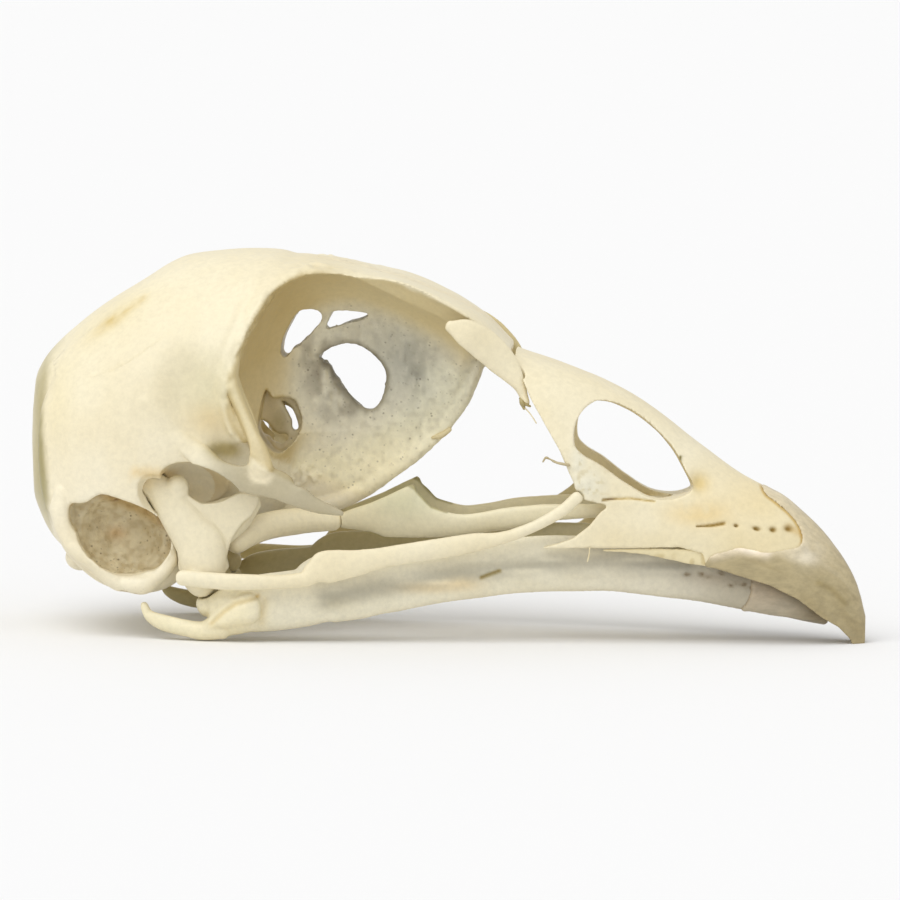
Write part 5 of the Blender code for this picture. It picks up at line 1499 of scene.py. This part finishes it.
# Painted shade: creases are darkened, and the inner faces of the shell a little.
washed(tint, 0.8 * rise(hollows(upper_bill, 12), 0.03, 0.16), (0.88, 0.76, 0.50))
washed(tint, 0.8 * facing_in(points, normals), (0.95, 0.90, 0.76))
washed(tint, 0.35 * rise(grain(points, 2.4, 6.0), 0.0, 0.8), (0.97, 0.95, 0.88))
washed(tint, 0.8 * rise(points[:, 0], 19.0, 27.0) * out, (0.96, 0.92, 0.82))
washed(tint, 0.8 * out * rise(points[:, 2], 10.6, 8.6) * rise(points[:, 0], 10.0, 15.0), (0.94, 0.92, 0.86))
washed(tint, 0.9 * out * near(points, *BLUSH) * rise(grain(points, 0.8), -1.8, 0.2), (0.95, 0.83, 0.60))
washed(tint, 0.5 * out * near(points, *BLUSH_HALO), (0.98, 0.92, 0.78))
# Painted shade: the recess in front of the nostril, the slit and the nerve holes are darkened.
washed(tint, 1.6 * recess, (0.86, 0.76, 0.52))
washed(tint, 1.5 * slit, (0.54, 0.44, 0.20))
washed(tint, 1.8 * holes, (0.40, 0.31, 0.11))
washed(tint, 0.6 * near_side * stroke(points, SMEAR, 0.28), (0.84, 0.68, 0.40))
washed(tint, 1.3 * crack * rise(points[:, 0], 14.5, 13.6), (0.36, 0.27, 0.12))
washed(tint, crack, (0.80, 0.68, 0.38))
washed(tint, 1.2 * near_side * stroke(points, DARK_DOT, 0.13), (0.24, 0.22, 0.08))
washed(tint, glue, (0.94, 0.99, 1.10))
washed(tint, 0.7 * glue * rise(grain(points, 0.3, 5.0), 0.25, 0.6), (0.78, 0.72, 0.55))
tint[:, 3] = 0.5 * glue * crumbs
washed(tint, out * rise(np.abs(seam), 0.26, 0.05) * rise(points[:, 2], 8.1, 8.7), (0.74, 0.60, 0.32))
stained(upper_bill, tint, np.clip(0.06 + 0.3 * glue, 0.0, 1.0))
finished(thinned(upper_bill, UPPER_BILL_TRIANGLES), bone, "bone", "upper_bill")

# %% [markdown]
# ## The horn of the bill
#
# The horn is pale and slightly pink along the ridge and brown-grey below, with streaks that run
# parallel to the cutting edge. It lies over the bone with a thin raised lip, which is whitish
# where light passes through it.

# %% Horn of the bill
PALE_ABOVE = ((21.0, 8.4), (24.1, 8.0), (26.0, 7.6), (29.5, 6.9), (31.3, 6.3), (33.1, 4.7),
              (34.1, 2.5), (34.9, 0.3))
HORN_LIP = ((22.3, 7.5), (23.3, 7.75), (24.3, 8.0), (25.4, 7.85), (26.6, 7.6))
HORN_STREAK = ((31.0, 5.2), (32.1, 4.6), (33.2, 3.4))
HORN_PATCH = (30.1, 4.0, 7.4), (1.1, 5.0, 1.1)
HORN_TIP = (34.6, 0.6, 0.6), (0.9, 2.0, 1.4)
UPPER_HORN_TRIANGLES = 90000

points, normals = points_of(upper_horn.data), normals_of(upper_horn.data)
x, y, z = points.T
seam = beside_path(points, round_path(HORN_EDGE))
out = rise(facing_out(points, normals), -0.3, 0.1)
above_edge = z - line(EDGE, x)
streaks = grain(np.column_stack([0.3 * x, 3.0 * above_edge, 0.6 * y]), 1.0)
heights = 0.015 * streaks + 0.02 * grain(points, 1.4)
heights += 0.07 * rise(seam, 0.9, 0.2) * out
relieved(upper_horn, heights)

tint = plain(points)
pale = rise(z - line(PALE_ABOVE, x) + 0.25 * grain(points, 1.2), -0.35, 0.6) * rise(x, 35.0, 28.0)
washed(tint, 1.0 - pale, (0.84, 0.78, 0.62))
washed(tint, pale, (1.27, 1.23, 1.17))
washed(tint, 0.9 * near(points, *HORN_PATCH) * rise(grain(points, 0.8), -1.2, 0.0), (1.18, 1.24, 1.45))
washed(tint, stroke(points, HORN_LIP, 0.42) * out, (1.62, 1.68, 2.10))
washed(tint, 0.8 * stroke(points, HORN_STREAK, 0.28), (0.74, 0.70, 0.56))
washed(tint, 0.35 * rise(streaks, 0.0, 0.8) * (1.0 - 0.7 * pale), (0.78, 0.74, 0.64))
washed(tint, 0.6 * rise(above_edge, 1.3, 0.3) * rise(x, 24.0, 28.0), (1.12, 1.10, 1.04))
washed(tint, 0.6 * near(points, *HORN_TIP), (0.88, 0.85, 0.78))
# Painted shade: the horn's inner faces are darkened.
washed(tint, facing_in(points, normals), (0.62, 0.56, 0.46))
stained(upper_horn, tint, np.full(len(points), 0.1))
finished(thinned(upper_horn, UPPER_HORN_TRIANGLES), horn, "horn", "bill_sheath")

# %% [markdown]
# ## The lower jaw
#
# Two rami meet in a spoon-shaped chin under the tip of the bill. At the back each carries a block
# for the joint, a knob on the outside, an inner spur and a long spur that curves up behind. The
# bone is cream at the back and greyer in front. Its tip is horn too. Every one of these is a bar
# again, so the jaw is a union of bars with the seats of its neighbours cut out, parted from its
# horn by the same saw as the bill.

# %% Stations of the lower jaw
JAW_RAMUS = ((-18.2, 10.5, 2.2, 0.9, 1.9), (-17.2, 10.5, 2.6, 1.3, 2.1), (-15.8, 10.2, 3.1, 1.1, 2.35),
             (-13.5, 9.8, 3.35, 0.9, 2.45), (-11.5, 9.5, 3.65, 0.85, 2.45), (-9.5, 9.2, 4.45, 0.75, 2.9),
             (-7.0, 8.7, 4.7, 0.72, 2.85), (-5.0, 8.3, 4.95, 0.7, 2.6),
             (0.0, 7.3, 5.7, 0.7, 2.4), (5.0, 6.3, 6.3, 0.7, 2.35), (9.5, 5.4, 6.6, 0.65, 2.35),
             (13.0, 4.8, 6.6, 0.6, 2.3), (17.0, 4.2, 6.2, 0.6, 2.25), (21.0, 3.5, 5.5, 0.6, 2.05),
             (24.0, 2.9, 4.6, 0.6, 1.7), (27.0, 2.2, 3.6, 0.6, 1.3), (29.6, 1.2, 2.75, 0.5, 0.85),
             (31.2, 0.4, 2.1, 0.4, 0.5))
JAW_CHIN = ((22.0, 0.0, 4.3, 1.5, 0.5), (24.0, 0.0, 3.8, 2.7, 0.65), (27.0, 0.0, 3.0, 2.3, 0.7),
            (29.6, 0.0, 2.3, 1.4, 0.6), (31.4, 0.0, 1.8, 0.6, 0.4))
JAW_BOSS = ((-19.0, 10.9, 1.4, 0.5, 0.5), (-17.5, 11.3, 2.3, 0.7, 1.15), (-15.9, 11.4, 2.9, 0.7, 1.35),
            (-15.4, 11.3, 3.0, 0.6, 1.2))
JAW_INNER_SPUR = ((-19.0, 9.5, 3.0, 1.3, 1.2), (-19.3, 7.6, 3.6, 0.8, 0.8), (-19.6, 5.8, 4.3, 0.5, 0.5))
JAW_REAR_SPUR = ((-18.2, 10.5, 1.3, 0.8, 1.2), (-19.7, 10.5, 0.85, 0.7, 0.8), (-21.2, 10.4, 1.05, 0.5, 0.7),
                 (-22.5, 10.2, 1.3, 0.45, 0.7), (-23.6, 10.0, 1.65, 0.4, 0.6), (-24.3, 9.8, 2.1, 0.4, 0.42),
                 (-24.6, 9.7, 2.75, 0.35, 0.33))
LOWER_HORN_EDGE = ((25.3, 9.0), (25.4, 5.2), (25.35, 4.2), (25.0, 3.3), (24.6, 2.6), (24.3, -1.0))
print("a ramus is", round(JAW_RAMUS[-1][0] - JAW_RAMUS[0][0], 1), "mm long")

# %% Lower jaw
lower_jaw = limb("lower_jaw_bone", JAW_CHIN)
parts, cuts = [], []
for side, _ in SIDES:
    parts += [limb("ramus", JAW_RAMUS, side, around=28),
              limb("boss", JAW_BOSS, side),
              limb("inner_spur", JAW_INNER_SPUR, side, across=(1.0, 0.0, 0.0)),
              limb("rear_spur", JAW_REAR_SPUR, side)]
    cuts += quadrate_parts(side, SEAT) + [limb("seat", JUGAL, side, SEAT)]
combined(lower_jaw, parts, "UNION")
combined(lower_jaw, cuts, "DIFFERENCE")
lower_jaw, lower_horn = parted(lower_jaw, "lower_horn", LOWER_HORN_EDGE, BILL_VOXEL, 3)
print("bone", len(lower_jaw.data.vertices), "points, horn", len(lower_horn.data.vertices))

# %% [markdown]
# ## Marks of the lower jaw
#
# A slit lies on the side of the jaw, and a crease sets off the knob for the joint: both are cut
# into the skin and darkened as painted shade. A grey band runs along the middle, two orange breaths
# lie on it, and a row of brown specks follows under the bill. Grain that is stretched along the jaw
# breaks the band up, because bone has its fibres lengthwise. Creases, the inner faces, the faces
# turned down and the front under the bill get painted shade too.

# %% Relief of the lower jaw
JAW_SLIT = ((3.2, 5.45), (3.92, 5.73), (4.65, 6.0))
GREY_BAND = ((-9.5, 3.7), (-5.4, 4.5), (0.4, 5.6), (6.2, 6.3), (12.8, 7.0), (20.0, 6.4))
BOSS_CREASE = ((-18.9, 1.55), (-17.9, 2.6), (-16.9, 3.35), (-15.1, 3.9))
BOSS_FRONT = ((-14.5, 3.5), (-14.75, 1.6))
SPECKS = ((20.1, 5.8), (21.3, 5.8), (21.8, 5.65), (22.9, 5.9), (24.2, 5.05), (24.8, 4.95),
          (25.3, 4.65), (23.8, 4.9))
SPECK_RADII = (0.25, 3.0, 0.17)
JAW_BREATHS = ((1.6, 7.0, 4.95), (1.6, 4.0, 0.6)), ((-1.5, 7.5, 4.6), (2.4, 4.0, 0.5))

points, normals = points_of(lower_jaw.data), normals_of(lower_jaw.data)
x, y, z = points.T
out = rise(facing_out(points, normals), -0.1, 0.3)
slit = out * stroke(points, JAW_SLIT, 0.16)
specks = [near(points, (at, 4.0, high), SPECK_RADII, 0.0, RIGHT) for at, high in SPECKS]
specks = out * np.max(specks, axis=0)
crease, boss_front = stroke(points, BOSS_CREASE, 0.22) * out, stroke(points, BOSS_FRONT, 0.35) * out
along = grain(points * (0.25, 1.0, 1.6), 0.8, 3.0)
seam = beside_path(points, round_path(LOWER_HORN_EDGE))
heights = 0.05 * grain(points, 3.0) + 0.025 * along - 0.22 * slit - 0.18 * crease - 0.12 * boss_front
heights -= 0.12 * rise(seam, -0.05, 0.15)
relieved(lower_jaw, heights)
print("relief of the jaw from", heights.min().round(2), "to", heights.max().round(2), "mm")

# %% Stains of the lower jaw
LOWER_JAW_TRIANGLES = 120000

tint = plain(points)
# Painted shade: creases and the faces turned to the middle are darkened.
washed(tint, 0.8 * rise(hollows(lower_jaw, 12), 0.03, 0.16), (0.88, 0.78, 0.54))
washed(tint, facing_in(points, normals), (0.60, 0.56, 0.42))
washed(tint, rise(x, -13.0, -17.0), (1.05, 1.02, 0.92))
washed(tint, rise(x, 3.0, 24.0) * out, (0.86, 0.86, 0.90))
washed(tint, out * stroke(points, GREY_BAND, 0.9) * rise(along, -1.4, 0.3), (0.62, 0.62, 0.62))
washed(tint, 0.3 * out * rise(along, 0.1, 0.8), (0.90, 0.88, 0.84))
for place, radii in JAW_BREATHS:
    washed(tint, 0.8 * out * near(points, place, radii), (1.02, 0.90, 0.72))
washed(tint, 0.6 * out * near(points, (-8.8, 9.0, 3.3), (1.3, 4.0, 0.6)), (0.84, 0.81, 0.72))
washed(tint, 0.6 * out * near(points, (22.6, 4.0, 5.4), (2.6, 4.0, 0.6)), (0.80, 0.74, 0.70))
washed(tint, 0.7 * near(points, (-22.8, 10.2, 1.2), (2.0, 3.0, 1.2)), (0.90, 0.91, 0.90))
# Painted shadow: the front of the jaw under the bill is darkened for the bill's shadow.
washed(tint, rise(x, 17.0, 25.3), (0.70, 0.68, 0.65))
# Painted shade: faces turned down are darkened.
washed(tint, 0.5 * rise(-normals[:, 2], 0.2, 0.9), (0.84, 0.80, 0.72))
# Painted shade: the slit, the crease and the line in front of the knob are darkened.
washed(tint, 1.4 * slit, (0.66, 0.58, 0.34))
washed(tint, 0.6 * crease + 0.35 * boss_front, (0.86, 0.74, 0.50))
washed(tint, 1.3 * specks * rise(grain(points, 0.3), -1.0, 0.3), (0.44, 0.35, 0.24))
stained(lower_jaw, tint, np.full(len(points), 0.08))
finished(thinned(lower_jaw, LOWER_JAW_TRIANGLES), pale_bone, "bone", "lower_jaw")

# %% [markdown]
# ## The horn of the lower jaw
#
# The lower sheath is like the upper one, but it lies in the shade of the bill and is plainer: a
# raised lip along its edge, a pale upper part, a dark end where the two tips meet, and inner faces
# darkened as painted shade.

# %% Horn of the lower jaw
LOWER_HORN_TRIANGLES = 60000
DARK_END = (31.3, 2.0, 2.4), (1.7, 4.0, 0.8)

points, normals = points_of(lower_horn.data), normals_of(lower_horn.data)
seam = beside_path(points, round_path(LOWER_HORN_EDGE))
lip = rise(seam, 0.8, 0.2)
relieved(lower_horn, 0.02 * grain(points * (0.3, 1.0, 1.5), 0.7) + 0.08 * lip)
tint = plain(points)
washed(tint, np.ones(len(points)), (1.00, 0.98, 1.02))
washed(tint, 0.8 * rise(points[:, 2], 2.4, 4.6) * rise(points[:, 0], 29.0, 27.0), (1.12, 1.06, 1.04))
# A dark end where the two tips meet.
washed(tint, near(points, *DARK_END), (0.52, 0.46, 0.34))
washed(tint, rise(seam, 0.2, 0.04), (0.84, 0.80, 0.72))
# Painted shade: the sheath's inner faces are darkened.
washed(tint, facing_in(points, normals), (0.6, 0.55, 0.45))
stained(lower_horn, tint, np.full(len(points), 0.08))
finished(thinned(lower_horn, LOWER_HORN_TRIANGLES), horn, "horn", "lower_sheath")

# %% [markdown]
# ## Dried scraps
#
# A few scraps were left on the specimen: a hooked shred behind the nostril, a strip of dried skin
# under the cutting edge of the bill, a short hair, crumbs and a thread at the tip of the lacrimal,
# and a splinter on the front border of the wall between the eyes. They are small bars and one thin
# plate, stained brown or left pale, and they stand beside the bones without replacing any.

# %% Dried scraps
SHRED = ((10.2, 7.05, 14.95, 0.16, 0.13), (9.12, 7.2, 15.18, 0.13, 0.10), (8.62, 7.25, 15.45, 0.12, 0.08),
         (8.33, 7.25, 15.55, 0.10, 0.08), (8.1, 7.25, 15.2, 0.06, 0.05))
HAIR = ((12.1, 7.2, 8.1, 0.06, 0.06), (12.05, 7.25, 7.5, 0.06, 0.06), (11.92, 7.2, 7.0, 0.05, 0.05))
CRUMBS = (((6.0, 5.1, 20.2, 0.12, 0.10), (6.2, 5.2, 19.85, 0.24, 0.22), (6.35, 5.15, 19.4, 0.13, 0.12)),
          ((6.3, 5.2, 19.9, 0.12, 0.12), (6.6, 5.25, 19.7, 0.17, 0.12), (6.85, 5.25, 19.6, 0.09, 0.08)))
THREAD = ((6.35, 5.2, 19.5, 0.06, 0.05), (6.85, 5.25, 19.0, 0.05, 0.05), (7.4, 5.3, 18.2, 0.04, 0.04))
BORDER_KNOB = ((-1.4, 0.35, 16.35, 0.25, 0.16), (-0.75, 0.5, 16.55, 0.32, 0.26),
               (-0.05, 0.4, 17.05, 0.22, 0.2))
SKIN_TOP = ((13.2, 7.95), (17.0, 8.05), (20.3, 8.0), (22.2, 7.75), (23.0, 7.3))
SKIN_BOTTOM = ((13.2, 7.80), (14.8, 7.74), (17.0, 7.5), (18.4, 7.2), (19.2, 7.05), (20.3, 6.8),
               (22.2, 6.6), (23.0, 7.0))
SKIN_OUT = ((13.2, 6.55), (17.0, 6.0), (20.3, 5.5), (22.2, 5.15), (23.0, 4.9))
SKIN_HALF = ((13.2, 0.12), (23.0, 0.14))

dried_skin = plate("dried_skin", RIGHT, SKIN_TOP, SKIN_BOTTOM, SKIN_OUT, SKIN_HALF)
scraps = [(limb("shred", SHRED), "horn", (0.62, 0.58, 0.50)),
          (limb("hair", HAIR), "horn", (0.94, 0.92, 0.86)),
          (dried_skin, "horn", (0.92, 0.89, 0.78)),
          (limb("thread", THREAD), "horn", (1.0, 0.98, 0.90)),
          (limb("border_knob", BORDER_KNOB), "bone", (0.84, 0.80, 0.66))]
for number, path in enumerate(CRUMBS):
    scraps.append((limb("crumb_" + str(number), path), "horn", (0.50, 0.46, 0.30)))
for scrap, slot, colour in scraps:
    points = points_of(scrap.data)
    tint = plain(points)
    washed(tint, np.ones(len(points)), colour)
    washed(tint, rise(grain(points, 0.5), 0.1, 0.6), (0.84, 0.80, 0.70))
    relieved(scrap, 0.03 * grain(points, 0.3))
    finished(stained(scrap, tint, np.zeros(len(points))), bone, slot)
print(len(scraps), "scraps")

# %% [markdown]
# ## Floor, light and camera
#
# The skull stands on a plain white table in an even, soft light, a little stronger from above on
# its left. A sun as wide as a soft box gives the same light everywhere, and a pale world fills
# the shadows. The camera looks square at the right side from a little above, from a metre away,
# so that the bones show almost without perspective.

# %% Floor
FLOOR_SIZE = 6.0
half = 0.5 * FLOOR_SIZE
sheet = bpy.data.meshes.new("floor")
corners = [(-half, -half, 0.0), (half, -half, 0.0), (half, half, 0.0), (-half, half, 0.0)]
sheet.from_pydata(corners, [], [(0, 1, 2, 3)])
floor = linked("floor", sheet)
paper = bpy.data.materials.new("table")
_, shader, _ = nodes_of(paper)
shader.inputs["Base Color"].default_value = (0.88, 0.88, 0.88, 1.0)
shader.inputs["Roughness"].default_value = 0.9
sheet.materials.append(paper)
print("the table is", FLOOR_SIZE, "m wide")

# %% Light
world = bpy.data.worlds.new("pale")
bpy.context.scene.world = world
world.use_nodes = True
world.node_tree.nodes["Background"].inputs["Color"].default_value = (1.0, 1.0, 1.0, 1.0)
world.node_tree.nodes["Background"].inputs["Strength"].default_value = 0.72


def sun(name, azimuth, elevation, strength, width):
    """A soft sun whose light comes from an azimuth and an elevation, in degrees."""
    light = bpy.data.lights.new(name, "SUN")
    light.energy, light.angle = strength, math.radians(width)
    lamp = bpy.data.objects.new(name, light)
    bpy.context.scene.collection.objects.link(lamp)
    a, e = math.radians(azimuth), math.radians(elevation)
    back = Vector((math.sin(a) * math.cos(e), -math.cos(a) * math.cos(e), math.sin(e)))
    lamp.rotation_euler = back.to_track_quat("Z", "Y").to_euler()


sun("key", -35.0, 55.0, 1.5, 50.0)
bpy.context.scene.view_settings.view_transform = "Standard"
print("lit by one soft sun and a pale world")

# %% Camera
AZIMUTH, ELEVATION, ROLL = (math.radians(angle) for angle in (3.0, 5.5, 1.0))
DISTANCE, TARGET = 1.0, Vector((0.0, 0.0, 0.0153))
SEEN_WIDTH = 0.075

eye = bpy.data.cameras.new("camera")
eye.sensor_width = 36.0
eye.lens = eye.sensor_width * DISTANCE / SEEN_WIDTH
camera = bpy.data.objects.new("camera", eye)
bpy.context.scene.collection.objects.link(camera)
ahead = Vector((-math.sin(AZIMUTH) * math.cos(ELEVATION), math.cos(AZIMUTH) * math.cos(ELEVATION),
                -math.sin(ELEVATION)))
turn = ahead.to_track_quat("-Z", "Y").to_matrix() @ Matrix.Rotation(ROLL, 3, "Z")
camera.matrix_world = Matrix.Translation(TARGET - ahead * DISTANCE) @ turn.to_4x4()
bpy.context.scene.camera = camera
print("the camera sees", SEEN_WIDTH / MM, "mm across")
